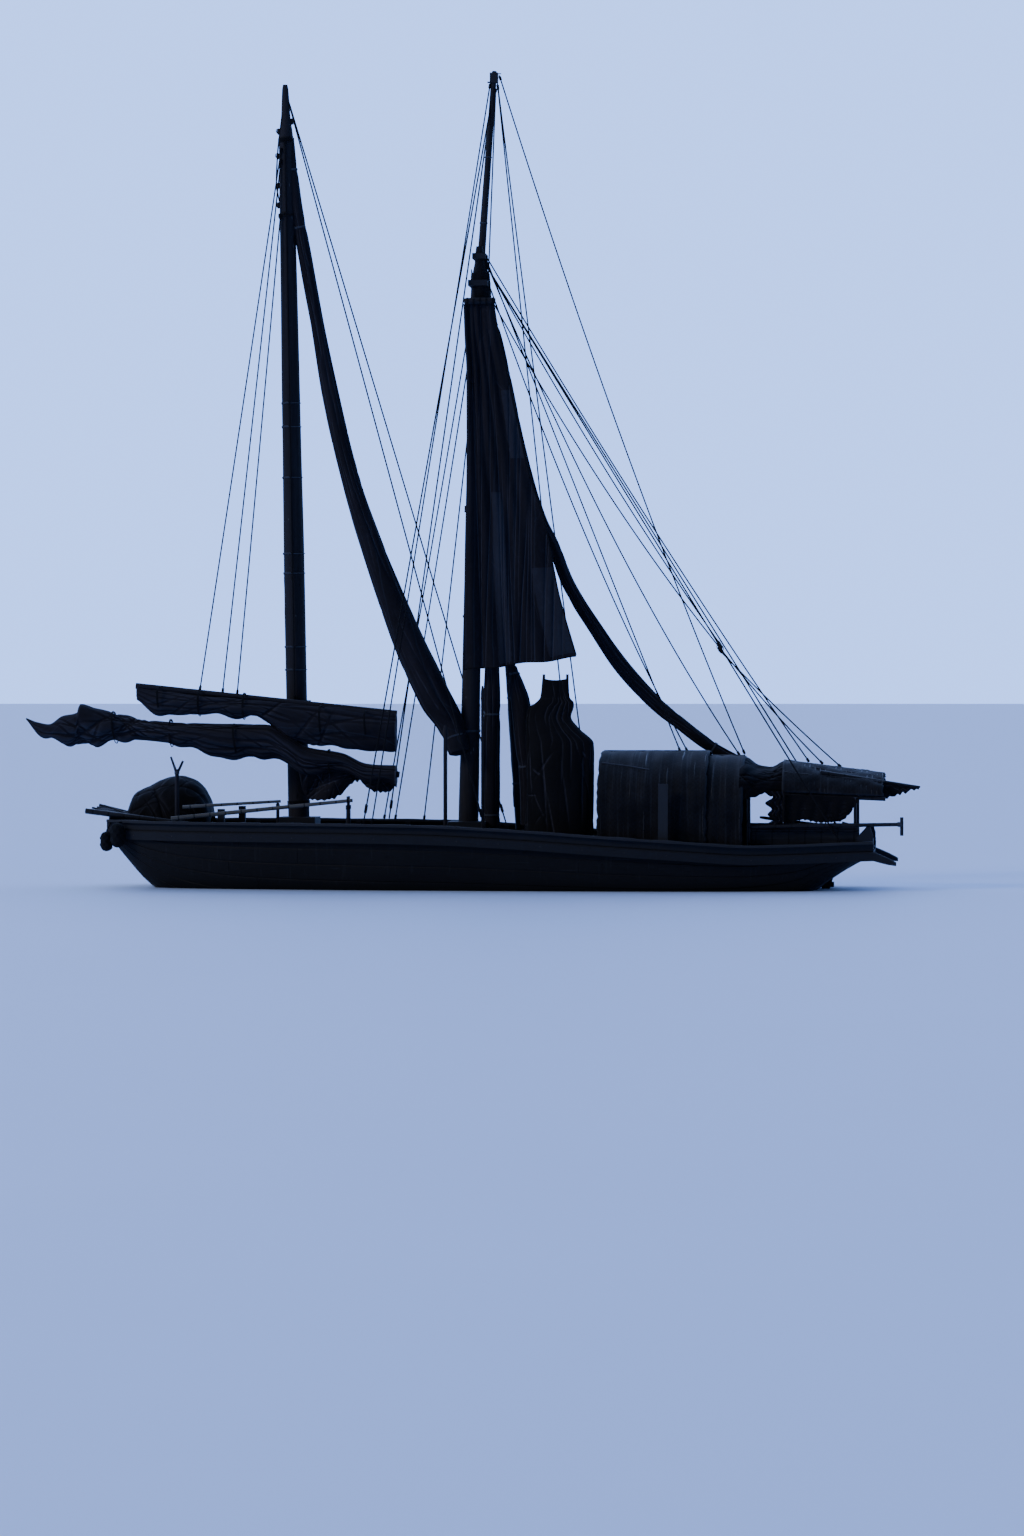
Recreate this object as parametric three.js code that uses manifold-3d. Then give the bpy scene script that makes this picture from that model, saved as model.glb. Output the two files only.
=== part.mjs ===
// Two-masted Chinese junk afloat with its sails lowered and furled.
// Millimetres. +X runs aft, +Y to starboard, +Z up. The origin is amidships on the waterline.

import * as THREE from 'three';
import { mergeVertices } from 'three/addons/utils/BufferGeometryUtils.js';
import Module from 'manifold-3d';

const wasm = await Module();
wasm.setup();

// Driving dimensions
const GAP = 0.3;
const DECK_DROP = 90;
const DECK_THICKNESS = 25;
const CAPRAIL_HEIGHT = 35;
const BULWARK_THICKNESS = 45;
const KEEL_WIDTH = 160;
const KEEL_DEPTH = 60;
const TRUNK_START = 3900;
const TRUNK_HALF_WIDTH = 85;
const RUNNING_CLEARANCE = 0.9;
const MAST_SIDES = 36;
const TOPMAST_SIDES = 12;

// Each mast is a trunk on a straight axis; girth columns: height, radius
const FOREMAST = {
  foot: [-2390, 0, 650],
  head: [-2557, 0, 9800],
  girth: [
    [650, 132], [4100, 130], [5330, 118], [7620, 104], [8700, 94], [9140, 90], [9270, 76], [9380, 60],
    [9580, 50], [9800, 36],
  ],
};
const MAIN_MAST = {
  foot: [-305, 0, 600],
  head: [-165, 0, 7800],
  girth: [[600, 128], [2300, 116], [7200, 100], [7480, 80], [7560, 60], [7800, 52]],
};
const TOPMAST = { foot: [-196, 155, 7200], head: [0, 155, 9950], girth: [[7200, 52], [9950, 34]] };
const RUDDER_AXIS = { foot: [3846, 0, -680], head: [4290, 0, 800], radius: 50 };
const STAY_RADIUS = 9;

// Hull stations from bow to stern
// columns: x, sheer (top of caprail), half breadth at deck, half breadth of floor, floor height
const HULL_STATIONS = [
  [-4680, 830, 520, 430, 650],
  [-4480, 825, 640, 440, 400],
  [-4120, 818, 790, 450, 20],
  [-3600, 812, 930, 460, -270],
  [-2900, 808, 1050, 500, -430],
  [-1900, 803, 1160, 540, -500],
  [-800, 790, 1230, 560, -520],
  [400, 735, 1230, 560, -520],
  [1400, 665, 1210, 550, -510],
  [2400, 600, 1150, 510, -460],
  [3200, 555, 1050, 440, -360],
  [3700, 565, 970, 380, -220],
  [3960, 575, 920, 340, 0],
  [4280, 587, 860, 320, 225],
  [4640, 598, 790, 310, 430],
].map(([x, sheer, halfDeck, halfFloor, floor]) => ({ x, sheer, halfDeck, halfFloor, floor }));

// Materials
function finish(color, roughness) {
  return new THREE.MeshStandardMaterial({ color, roughness, metalness: 0 });
}
const TARRED = finish(0x1b1f2c, 0.75);
const WEATHERED = finish(0x3a3f4c, 0.8);
const SPAR = finish(0x23283a, 0.7);
const CLOTH = finish(0x232b44, 0.95);
const MAT = finish(0x2a2f3d, 0.95);
const CANVAS = finish(0x4a5470, 0.9);
const ROPE = finish(0x2b2e38, 0.9);
const POLE = finish(0x5a6072, 0.75);

const junk = new THREE.Group();

function add(name, geometry, material) {
  const mesh = new THREE.Mesh(geometry, material);
  mesh.name = name;
  junk.add(mesh);
  return mesh;
}

// Booleans
function toSolid(geometry) {
  const bare = geometry.clone();
  bare.deleteAttribute('normal');
  bare.deleteAttribute('uv');
  const merged = mergeVertices(bare, 1e-3);
  return new wasm.Manifold(new wasm.Mesh({
    numProp: 3,
    vertProperties: new Float32Array(merged.attributes.position.array),
    triVerts: new Uint32Array(merged.index.array),
  }));
}

function toGeometry(solid) {
  const mesh = solid.getMesh();
  const geometry = new THREE.BufferGeometry();
  geometry.setAttribute('position', new THREE.Float32BufferAttribute(mesh.vertProperties, 3));
  geometry.setIndex(new THREE.Uint32BufferAttribute(mesh.triVerts, 1));
  geometry.computeVertexNormals();
  return geometry;
}

function cut(geometry, ...cutters) {
  return toGeometry(cutters.reduce((solid, cutter) => solid.subtract(toSolid(cutter)), toSolid(geometry)));
}

function join(...geometries) {
  const [first, ...rest] = geometries.map(toSolid);
  return toGeometry(rest.reduce((solid, other) => solid.add(other), first));
}

// Lofts a closed solid through rings of equal count
function loft(rings) {
  const count = rings[0].length;
  const positions = rings.flat().flatMap((p) => [p.x, p.y, p.z]);
  const index = [];
  for (let i = 0; i + 1 < rings.length; i += 1) {
    for (let j = 0; j < count; j += 1) {
      const a = i * count + j;
      const b = i * count + ((j + 1) % count);
      index.push(a, b, b + count, a, b + count, a + count);
    }
  }
  index.push(...cap(rings[0], 0, -1));
  index.push(...cap(rings.at(-1), (rings.length - 1) * count, 1));
  if (signedVolume(positions, index) < 0) index.reverse();
  const geometry = new THREE.BufferGeometry();
  geometry.setAttribute('position', new THREE.Float32BufferAttribute(positions, 3));
  geometry.setIndex(index);
  geometry.computeVertexNormals();
  return geometry;
}

// Triangles closing one end ring, wound along (+1) or against (-1) the ring's own order
function cap(ring, offset, side) {
  const normal = new THREE.Vector3();
  ring.forEach((p, i) => normal.add(new THREE.Vector3().crossVectors(p, ring[(i + 1) % ring.length])));
  const flat = new THREE.Quaternion().setFromUnitVectors(normal.normalize(), new THREE.Vector3(0, 0, 1));
  const outline = ring.map((p) => {
    const q = p.clone().applyQuaternion(flat);
    return new THREE.Vector2(q.x, q.y);
  });
  return THREE.ShapeUtils.triangulateShape(outline, []).flatMap(([a, b, c]) => {
    const ab = outline[b].clone().sub(outline[a]);
    const ac = outline[c].clone().sub(outline[a]);
    const turned = ab.cross(ac) * side > 0;
    return turned ? [offset + a, offset + b, offset + c] : [offset + a, offset + c, offset + b];
  });
}

function signedVolume(positions, index) {
  const corner = (i) => new THREE.Vector3().fromArray(positions, 3 * index[i]);
  let volume = 0;
  for (let i = 0; i < index.length; i += 3) {
    volume += corner(i).dot(corner(i + 1).cross(corner(i + 2)));
  }
  return volume;
}

// Shapes
// A box from its lowest and highest value along each axis
function block({ x, y, z }, grow = 0) {
  const size = [x, y, z].map(([low, high]) => high - low + 2 * grow);
  const middle = [x, y, z].map(([low, high]) => (low + high) / 2);
  return new THREE.BoxGeometry(...size).translate(...middle);
}

function rod(from, to, radiusFrom, radiusTo = radiusFrom, sides = 12) {
  const start = new THREE.Vector3(...from);
  const end = new THREE.Vector3(...to);
  const span = end.clone().sub(start);
  const geometry = new THREE.CylinderGeometry(radiusTo, radiusFrom, span.length(), sides);
  const up = new THREE.Vector3(0, 1, 0);
  geometry.applyQuaternion(new THREE.Quaternion().setFromUnitVectors(up, span.normalize()));
  return geometry.translate(...start.add(end).multiplyScalar(0.5).toArray());
}

function along(mast, z) {
  const t = (z - mast.foot[2]) / (mast.head[2] - mast.foot[2]);
  return mast.foot.map((value, i) => value + t * (mast.head[i] - value));
}

function mastRod(mast, grow = 0, sides = MAST_SIDES) {
  const axis = new THREE.Vector3(...mast.head).sub(new THREE.Vector3(...mast.foot)).normalize();
  const lean = new THREE.Quaternion().setFromUnitVectors(new THREE.Vector3(0, 0, 1), axis);
  return loft(mast.girth.map(([z, radius]) => {
    const centre = new THREE.Vector3(...along(mast, z));
    return Array.from({ length: sides }, (_, k) => {
      const angle = (2 * Math.PI * k) / sides;
      const ray = new THREE.Vector3(Math.cos(angle), Math.sin(angle), 0).applyQuaternion(lean);
      return ray.multiplyScalar(radius + grow).add(centre);
    });
  }));
}

function mastRadius({ girth }, z) {
  const next = Math.max(girth.findIndex(([height]) => height >= z), 1);
  const [[z0, radius0], [z1, radius1]] = [girth[next - 1], girth[next]];
  return radius0 + ((z - z0) / (z1 - z0)) * (radius1 - radius0);
}

// A round bundle through a table of centres; columns: x, y, z, radius
function roll(rows, sides = 12) {
  const centres = rows.map(([x, y, z]) => new THREE.Vector3(x, y, z));
  return loft(rows.map((row, i) => {
    const before = centres[Math.max(i - 1, 0)];
    const after = centres[Math.min(i + 1, rows.length - 1)];
    const tangent = after.clone().sub(before).normalize();
    const across = new THREE.Vector3().crossVectors(tangent, new THREE.Vector3(1, 0, 0.2)).normalize();
    const up = new THREE.Vector3().crossVectors(across, tangent);
    return Array.from({ length: sides }, (_, k) => {
      const angle = (2 * Math.PI * k) / sides;
      const ray = across.clone().multiplyScalar(Math.cos(angle)).addScaledVector(up, Math.sin(angle));
      return centres[i].clone().addScaledVector(ray, row[3]);
    });
  }));
}

// A rectangle at one station from inner to outer half breadth, side -1 is port
function stripRing(x, inner, outer, low, high, side) {
  return [[inner, low], [outer, low], [outer, high], [inner, high]]
    .map(([y, z]) => new THREE.Vector3(x, side * y, z));
}

// Hull
const SIDE_STEPS = 7;

function hullRing({ x, sheer, halfDeck, halfFloor, floor }, grow = 0) {
  const top = sheer - DECK_DROP - DECK_THICKNESS;
  const half = [];
  for (let i = 0; i <= SIDE_STEPS; i += 1) {
    const angle = (i / SIDE_STEPS) * (Math.PI / 2);
    const y = halfFloor + (halfDeck - halfFloor) * Math.sin(angle) ** 0.85;
    const z = floor + (top - floor) * (1 - Math.cos(angle)) ** 1.1;
    half.push([y + grow, z]);
  }
  const starboard = half.map(([y, z]) => new THREE.Vector3(x, y, z));
  const port = half.map(([y, z]) => new THREE.Vector3(x, -y, z)).reverse();
  return [...starboard, ...port];
}

// Everything below a surface that follows the sheer, used to seat pieces on the deck or the caprail
function belowSheer(drop) {
  return loft(HULL_STATIONS.map(({ x, sheer }) => stripRing(x, -2500, 2500, -3000, sheer - drop, 1)));
}

const trunk = block({ x: [TRUNK_START, 5200], y: [-TRUNK_HALF_WIDTH, TRUNK_HALF_WIDTH], z: [-100, 1200] });
const belowDeck = belowSheer(DECK_DROP - GAP);
const belowCaprail = belowSheer(-GAP);

add('hull_body', cut(loft(HULL_STATIONS.map((station) => hullRing(station))), trunk), TARRED);

const keelStations = HULL_STATIONS.filter(({ x }) => x >= -3600 && x <= 3700);
add('keel_plank', loft(keelStations.map(({ x, floor }) => (
  stripRing(x, -KEEL_WIDTH / 2, KEEL_WIDTH / 2, floor - KEEL_DEPTH, floor - GAP, 1)))), TARRED);

add('deck', cut(loft(HULL_STATIONS.map(({ x, sheer, halfDeck }) => {
  const half = halfDeck - BULWARK_THICKNESS - GAP;
  const top = sheer - DECK_DROP;
  return stripRing(x, -half, half, top - DECK_THICKNESS + GAP, top, 1);
})), trunk), WEATHERED);

const SIDES = [['port', -1], ['starboard', 1]];
// Rails and wales: inner and outer face from the deck's half breadth, lower and upper face from the sheer
const CAPRAIL = { inner: -70, outer: 40, low: -CAPRAIL_HEIGHT, high: 0 };
const WALE = { inner: -60, outer: 48, low: -235, high: -125 };
const WALE_WING = { x: 4910, drop: 75, inset: 20, taper: 35 };
const grownHull = loft(HULL_STATIONS.map((station) => hullRing(station, GAP)));

function railRings({ inner, outer, low, high }, side) {
  return HULL_STATIONS.map(({ x, sheer, halfDeck }) => (
    stripRing(x, halfDeck + inner, halfDeck + outer, sheer + low, sheer + high, side)));
}

for (const [sideName, side] of SIDES) {
  add(`bulwark_${sideName}`, loft(HULL_STATIONS.map(({ x, sheer, halfDeck }) => (
    stripRing(x, halfDeck - BULWARK_THICKNESS, halfDeck, sheer - DECK_DROP - DECK_THICKNESS + GAP,
      sheer - CAPRAIL_HEIGHT - GAP, side)))), TARRED);
  add(`caprail_${sideName}`, loft(railRings(CAPRAIL, side)), WEATHERED);
  const last = HULL_STATIONS.at(-1);
  const wing = stripRing(WALE_WING.x, last.halfDeck + WALE.inner - WALE_WING.inset,
    last.halfDeck + WALE.outer - WALE_WING.inset, last.sheer + WALE.low - WALE_WING.drop,
    last.sheer + WALE.high - WALE_WING.drop - WALE_WING.taper, side);
  add(`wale_${sideName}`, cut(loft([...railRings(WALE, side), wing]), grownHull), TARRED);
}

// Bow and stern timbers
const BOW_BEAM = { x: [-4670, -4540], y: [-440, 440], z: [600, 856] };
const BOW_SPAR = { fore: [-4950, -480, 926], aft: [-3480, -520, 748], radius: 34 };
const STERN_BEAM = { x: [4500, 4615], y: [-700, 700], z: [400, 590] };
add('bow_beam', cut(block(BOW_BEAM), belowDeck), TARRED);
add('bow_spar', cut(rod(BOW_SPAR.fore, BOW_SPAR.aft, BOW_SPAR.radius), block(BOW_BEAM, GAP), belowDeck), POLE);
add('stern_beam', cut(block(STERN_BEAM), belowDeck), TARRED);

// columns: x, top height of the horn
const HORN_PROFILE = [[4440, 635], [4500, 700], [4560, 770], [4600, 770], [4635, 660]];
const HORN = { inner: 735, outer: 815, foot: 520 };
const horn = (side, grow) => loft(HORN_PROFILE.map(([x, top]) => (
  stripRing(x, HORN.inner - grow, HORN.outer + grow, HORN.foot, top + grow, side))));
for (const [sideName, side] of SIDES) {
  add(`stern_horn_${sideName}`, cut(horn(side, 0), belowCaprail), TARRED);
}

const BITT = { x: [-3265, -3185], y: [720, 800], z: [600, 960] };
for (const [sideName, side] of SIDES) {
  const y = BITT.y.map((value) => side * value).sort((a, b) => a - b);
  add(`mooring_bitt_${sideName}`, cut(block({ ...BITT, y }), belowDeck), TARRED);
}

// Masts
const foremastGrown = mastRod(FOREMAST, GAP);
const mainMastGrown = mastRod(MAIN_MAST, GAP);
const topmastGrown = mastRod(TOPMAST, GAP, TOPMAST_SIDES);
add('foremast', cut(mastRod(FOREMAST), belowDeck), SPAR);
add('main_mast', cut(mastRod(MAIN_MAST), belowDeck), SPAR);
add('topmast', mastRod(TOPMAST, 0, TOPMAST_SIDES), SPAR);
const FORE_PARTNER = { x: [-2620, -2160], y: [-230, 230], z: [600, 850] };
const MAIN_PARTNER = { x: [-540, -70], y: [-250, 250], z: [500, 800] };
add('fore_mast_partner', cut(block(FORE_PARTNER), foremastGrown, belowDeck), TARRED);
add('main_mast_partner', cut(block(MAIN_PARTNER), mainMastGrown, belowDeck), TARRED);

// The bands hold the topmast to the main mast
// columns: name, height of the band's middle, half length, port face
const BAND_HALF_HEIGHT = 35;
const BAND_STARBOARD_FACE = 235;
for (const [name, z, half, portFace] of [
  ['topmast_band_lower', 7350, 120, -125],
  ['topmast_band_upper', 7680, 80, -85],
]) {
  const [x] = along(MAIN_MAST, z);
  const band = block({
    x: [x - half, x + half],
    y: [portFace, BAND_STARBOARD_FACE],
    z: [z - BAND_HALF_HEIGHT, z + BAND_HALF_HEIGHT],
  });
  add(name, cut(band, mainMastGrown, topmastGrown), TARRED);
}

// Rudder, raked through an open trunk in the counter
const TILLER = { butt: [4335, 0, 712], tip: [3250, 0, 860], buttRadius: 30, tipRadius: 20 };
const RUDDER_BLADE = [[4040, -40], [4500, -90], [4560, -620], [3860, -680]];
const BLADE_THICKNESS = 50;

function extrudeSide(outline, yMiddle, thickness) {
  const shape = new THREE.Shape(outline.map(([x, z]) => new THREE.Vector2(x, z)));
  const geometry = new THREE.ExtrudeGeometry(shape, { depth: thickness, bevelEnabled: false });
  return geometry.rotateX(Math.PI / 2).translate(0, yMiddle + thickness / 2, 0);
}

const rudderStock = rod(RUDDER_AXIS.foot, RUDDER_AXIS.head, RUDDER_AXIS.radius, RUDDER_AXIS.radius, MAST_SIDES);
const rudderWood = join(rudderStock, extrudeSide(RUDDER_BLADE, 0, BLADE_THICKNESS));
add('rudder', cut(rudderWood, rod(TILLER.butt, TILLER.tip, TILLER.buttRadius + GAP, TILLER.tipRadius + GAP)),
  TARRED);
add('tiller', rod(TILLER.butt, TILLER.tip, TILLER.buttRadius, TILLER.tipRadius), POLE);

const boreRadius = RUDDER_AXIS.radius + RUNNING_CLEARANCE;
const stockBore = rod(RUDDER_AXIS.foot, RUDDER_AXIS.head, boreRadius, boreRadius, MAST_SIDES);
const RUDDER_BEAM = { x: [4110, 4330], y: [-460, 460], z: [400, 600] };
const GUDGEON = { x: [TRUNK_START + GAP, 4150], y: [-70, 70], z: [20, 80] };
add('rudder_beam', cut(block(RUDDER_BEAM), belowDeck, stockBore), TARRED);
add('rudder_gudgeon', cut(block(GUDGEON), stockBore), TARRED);

// Lowered foresail: boom, yard and furled cloth swing together about the foremast
const FORE_SAIL_Y = -400;
const FORE_YARD = {
  fore: [-4340, FORE_SAIL_Y, 2452], aft: [-1130, FORE_SAIL_Y, 2122], radius: 38, aftRadius: 32,
};

// The boom is a bent pole that runs inside the furled cloth; columns: x, z, radius
const FORE_BOOM = [
  [-5305, 1872, 38], [-4793, 1854, 42], [-4305, 1835, 45], [-3840, 1787, 45], [-3207, 1671, 45],
  [-2720, 1634, 45], [-2415, 1561, 44], [-2232, 1524, 43], [-1800, 1490, 42], [-1500, 1427, 40],
  [-1100, 1374, 38],
];
const foreBoom = (grow) => roll(FORE_BOOM.map(([x, z, radius], i) => {
  const reach = grow * (Number(i === FORE_BOOM.length - 1) - Number(i === 0));
  return [x + reach, FORE_SAIL_Y, z, radius + grow];
}));

function lineHeight({ fore, aft }, x) {
  return fore[2] + ((x - fore[0]) / (aft[0] - fore[0])) * (aft[2] - fore[2]);
}

add('fore_boom', foreBoom(0), SPAR);
add('fore_yard', rod(FORE_YARD.fore, FORE_YARD.aft, FORE_YARD.radius, FORE_YARD.aftRadius), SPAR);

function ovalRing(x, yMiddle, low, high, half, sides = 16) {
  return Array.from({ length: sides }, (_, k) => {
    const angle = (2 * Math.PI * k) / sides;
    const z = (low + high) / 2 + ((high - low) / 2) * Math.sin(angle);
    return new THREE.Vector3(x, yMiddle + half * Math.cos(angle), z);
  });
}

// Furled cloth round the boom; columns: x, underside, top, half thickness
const LOWER_BUNDLE = [
  [-5705, 2030, 2062, 20], [-5573, 1884, 2012, 70], [-5427, 1787, 1988, 120], [-5256, 1726, 2085, 155],
  [-5060, 1697, 2140, 180], [-5030, 1696, 2240, 180], [-4854, 1695, 2195, 190], [-4451, 1768, 2122, 195],
  [-4183, 1774, 2067, 195], [-3841, 1723, 2018, 195], [-3573, 1659, 2018, 195], [-3207, 1555, 2012, 195],
  [-2720, 1573, 1988, 190], [-2476, 1500, 1854, 185], [-2232, 1366, 1713, 180], [-1805, 1402, 1640, 165],
  [-1500, 1280, 1512, 150], [-1134, 1244, 1488, 110],
];
const lowerBundle = (grow) => loft(LOWER_BUNDLE.map(([x, low, top, half]) => (
  ovalRing(x, FORE_SAIL_Y, low - grow, top + grow, half + grow))));
const grownBoom = foreBoom(GAP);
const grownYard = rod(FORE_YARD.fore, FORE_YARD.aft, FORE_YARD.radius + GAP, FORE_YARD.aftRadius + GAP);

// Furled cloth under the yard; columns: x, underside, half thickness
const SEAT = 6;
const UPPER_BUNDLE = [
  [-4329, 2256, 60], [-4000, 2073, 140], [-3573, 2079, 160], [-2878, 2037, 170], [-2354, 1744, 170],
  [-1988, 1695, 170], [-1744, 1671, 160], [-1256, 1646, 130], [-1134, 1671, 90],
];
add('foresail_bundle_upper', cut(loft(UPPER_BUNDLE.map(([x, low, half]) => (
  ovalRing(x, FORE_SAIL_Y, low, lineHeight(FORE_YARD, x) - FORE_YARD.radius + SEAT, half)))),
lowerBundle(GAP), grownYard), CLOTH);

// A wooden collar round a mast with an arm that ends at the middle of the spar beside it
const PARREL_SIDES = 20;

function parrelArm(mast, { z, height, armHalf }, spar, inner) {
  const [x] = along(mast, z);
  return { x: [x - armHalf, x + armHalf], y: [spar, inner], z: [z - height / 2, z + height / 2] };
}

function parrel(mast, collar, spar) {
  const [x] = along(mast, collar.z);
  const inner = mastRadius(mast, collar.z);
  const outer = inner + collar.wall;
  const ring = new THREE.CylinderGeometry(outer, outer, collar.height, PARREL_SIDES).rotateX(Math.PI / 2);
  const arm = block(parrelArm(mast, collar, spar, -inner));
  return cut(join(ring.translate(x, 0, collar.z), arm), mastRod(mast, RUNNING_CLEARANCE));
}

const BOOM_PARREL = { z: 1561, height: 70, wall: 50, armHalf: 45 };
const YARD_PARREL = { z: 2256, height: 44, wall: 45, armHalf: 40 };
add('fore_boom_parrel', cut(parrel(FOREMAST, BOOM_PARREL, FORE_SAIL_Y), grownBoom), TARRED);
add('fore_yard_parrel', cut(parrel(FOREMAST, YARD_PARREL, FORE_SAIL_Y), grownYard), TARRED);
add('foresail_bundle_lower', cut(lowerBundle(0), grownBoom,
  block(parrelArm(FOREMAST, BOOM_PARREL, FORE_SAIL_Y, 0), GAP)), CLOTH);

// A second foresail furled along its stay, from the foremast head down to the foot of the main mast
// columns: x, y, z, radius
const FORE_ROLL = [
  [-2495, 0, 9160, 48], [-2430, 0, 8400, 74], [-2299, 0, 7622, 84], [-2189, -5, 7024, 84],
  [-1982, -20, 5939, 107], [-1841, -32, 5329, 112], [-1671, -45, 4720, 123], [-1463, -60, 4110, 143],
  [-1232, -78, 3500, 166], [-982, -95, 2890, 191], [-835, -105, 2585, 200], [-690, -110, 2290, 200],
  [-520, -100, 2010, 172], [-440, -150, 1800, 150], [-385, -185, 1620, 125],
];
add('fore_sail_roll', cut(roll(FORE_ROLL), foremastGrown, mainMastGrown), CLOTH);

// Main sail: short yard and hanging cloth swing together about the main mast
const MAIN_SAIL_Y = -200;
const MAIN_YARD = { fore: [-330, MAIN_SAIL_Y, 7120], aft: [50, MAIN_SAIL_Y, 7120], radius: 40 };
const MAIN_PARREL = { z: 7120, height: 50, wall: 50, armHalf: 60 };
const grownMainYard = rod(MAIN_YARD.fore, MAIN_YARD.aft, MAIN_YARD.radius + GAP);
add('main_yard', rod(MAIN_YARD.fore, MAIN_YARD.aft, MAIN_YARD.radius), SPAR);
add('main_parrel', cut(parrel(MAIN_MAST, MAIN_PARREL, MAIN_SAIL_Y), grownMainYard), TARRED);

// columns: z at the fore edge, z at the aft edge, x of the fore edge, x of the aft edge, half thickness
const MAIN_CLOTH = [
  [7084, 7084, -300, 30, 38], [6670, 6670, -305, 98, 42], [5600, 5600, -305, 330, 46],
  [5000, 5000, -305, 465, 48], [4476, 4476, -305, 630, 50], [3500, 3560, -305, 805, 52],
  [2640, 2800, -290, 1025, 50],
];
const CLOTH_SIDES = 14;
add('main_sail_cloth', cut(loft(MAIN_CLOTH.map(([zFore, zAft, xFore, xAft, half]) => (
  Array.from({ length: CLOTH_SIDES }, (_, k) => {
    const angle = (2 * Math.PI * k) / CLOTH_SIDES;
    const share = (1 + Math.cos(angle)) / 2;
    return new THREE.Vector3(xFore + share * (xAft - xFore), MAIN_SAIL_Y + half * Math.sin(angle),
      zFore + share * (zAft - zFore));
  })))), grownMainYard), CLOTH);

// Cloth bunched behind the mast, from inside the hanging sail down to the deck; columns: x, y, z, radius
const FOLDS = [
  [-10, 0, 3300, 55], [-12, 0, 2600, 95], [-14, 0, 2300, 105], [-18, 0, 1500, 108], [-22, 0, 640, 110],
];
add('main_sail_folds', cut(roll(FOLDS), mainMastGrown, belowDeck, block(MAIN_PARTNER, GAP)), CLOTH);

// A second main sail furled along its edge, from the masthead down to the shelter's starboard shoulder
// columns: x, y, z, radius
const MAIN_ROLL = [
  [-72, 90, 7030, 50], [22, 150, 6780, 50], [150, 210, 6183, 55], [320, 280, 5330, 62], [560, 330, 4476, 72],
  [705, 350, 4170, 76], [866, 385, 3744, 81], [994, 405, 3500, 86], [1226, 430, 3134, 93],
  [1476, 455, 2768, 102], [1793, 480, 2402, 101], [2043, 505, 2159, 92], [2195, 525, 2040, 86],
  [2695, 590, 1665, 80], [2950, 635, 1535, 72], [3050, 650, 1500, 55],
];

// Shelter amidships: arched mats over hoops, standing on the deck
const SHELTER = { halfWidth: 930, spring: 1020, top: 1665, mat: 30, start: 1340, end: 2660 };
const SHELTER_AFT = { halfWidth: 905, spring: 1000, top: 1610, mat: 30, start: 2680, end: 3095 };
const ARCH_STEPS = 16;
const BELOW_DECK = 300;

function archOutline(halfWidth, foot, spring, top) {
  const points = [[halfWidth, foot]];
  for (let i = 0; i <= ARCH_STEPS; i += 1) {
    const angle = (Math.PI * i) / ARCH_STEPS;
    points.push([halfWidth * Math.cos(angle), spring + (top - spring) * Math.sin(angle)]);
  }
  points.push([-halfWidth, foot]);
  return points;
}

function archShell(x0, x1, { halfWidth, spring, top }, inset, thickness) {
  const outer = archOutline(halfWidth - inset, BELOW_DECK, spring, top - inset);
  const inner = archOutline(halfWidth - inset - thickness, BELOW_DECK, spring, top - inset - thickness);
  const outline = [...outer, ...inner.reverse()];
  return loft([x0, x1].map((x) => outline.map(([y, z]) => new THREE.Vector3(x, y, z))));
}

function archBody({ start, end, halfWidth, spring, top }, grow) {
  const outline = archOutline(halfWidth + grow, BELOW_DECK, spring, top + grow);
  return loft([start - grow, end + grow].map((x) => outline.map(([y, z]) => new THREE.Vector3(x, y, z))));
}

add('shelter_mat_fore', cut(archShell(SHELTER.start, SHELTER.end, SHELTER, 0, SHELTER.mat), belowDeck), MAT);
add('shelter_mat_aft', cut(archShell(SHELTER_AFT.start, SHELTER_AFT.end, SHELTER_AFT, 0, SHELTER_AFT.mat),
  belowDeck), MAT);
add('main_sail_roll', cut(roll(MAIN_ROLL), mainMastGrown, archBody(SHELTER, GAP), archBody(SHELTER_AFT, GAP)),
  CLOTH);

// Hoops and battens of the shelter's frame
const HOOP = { depth: 22, width: 40, positions: [1420, 1800, 2200, 2600] };
const AFT_HOOPS = [2730, 3045];
const hoops = [
  ...HOOP.positions.map((x) => [x, SHELTER]),
  ...AFT_HOOPS.map((x) => [x, SHELTER_AFT]),
].map(([x, arch]) => archShell(x - HOOP.width / 2, x + HOOP.width / 2, arch, arch.mat + GAP, HOOP.depth));
const RIDGE_BATTENS = [
  { x: [1400, 2620], y: [-20, 20], z: [1590, 1615] },
  { x: [2710, 3065], y: [-20, 20], z: [1535, 1560] },
];
const SIDE_BATTENS = [
  { x: [1400, 2640], y: [847, 885], z: [760, 800] },
  { x: [2600, 3065], y: [847, 873], z: [760, 800] },
];
const mirrored = ({ x, y: [inner, outer], z }) => [{ x, y: [inner, outer], z }, { x, y: [-outer, -inner], z }];
const battens = [...RIDGE_BATTENS, ...SIDE_BATTENS.flatMap(mirrored)].map((batten) => block(batten));
add('shelter_frame', cut(join(...hoops, ...battens), belowDeck), POLE);

// Stern canopy: a low arched mat on a post frame
// columns: x, half width, eave height, ridge height
const CANOPY = [[3540, 700, 1170, 1560], [4780, 670, 1120, 1400]];
// An awning carries the roof on from the shelter's aft edge, sagging between the two
const AWNING = [
  [SHELTER_AFT.end + GAP, 872, 1175, 1606], [3230, 810, 1170, 1525], [3400, 745, 1165, 1502],
  [CANOPY[0][0] - GAP, 700, 1170, 1560],
];
const ROOF_MAT = 30;
const EAVE_LIP = 12;

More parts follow.
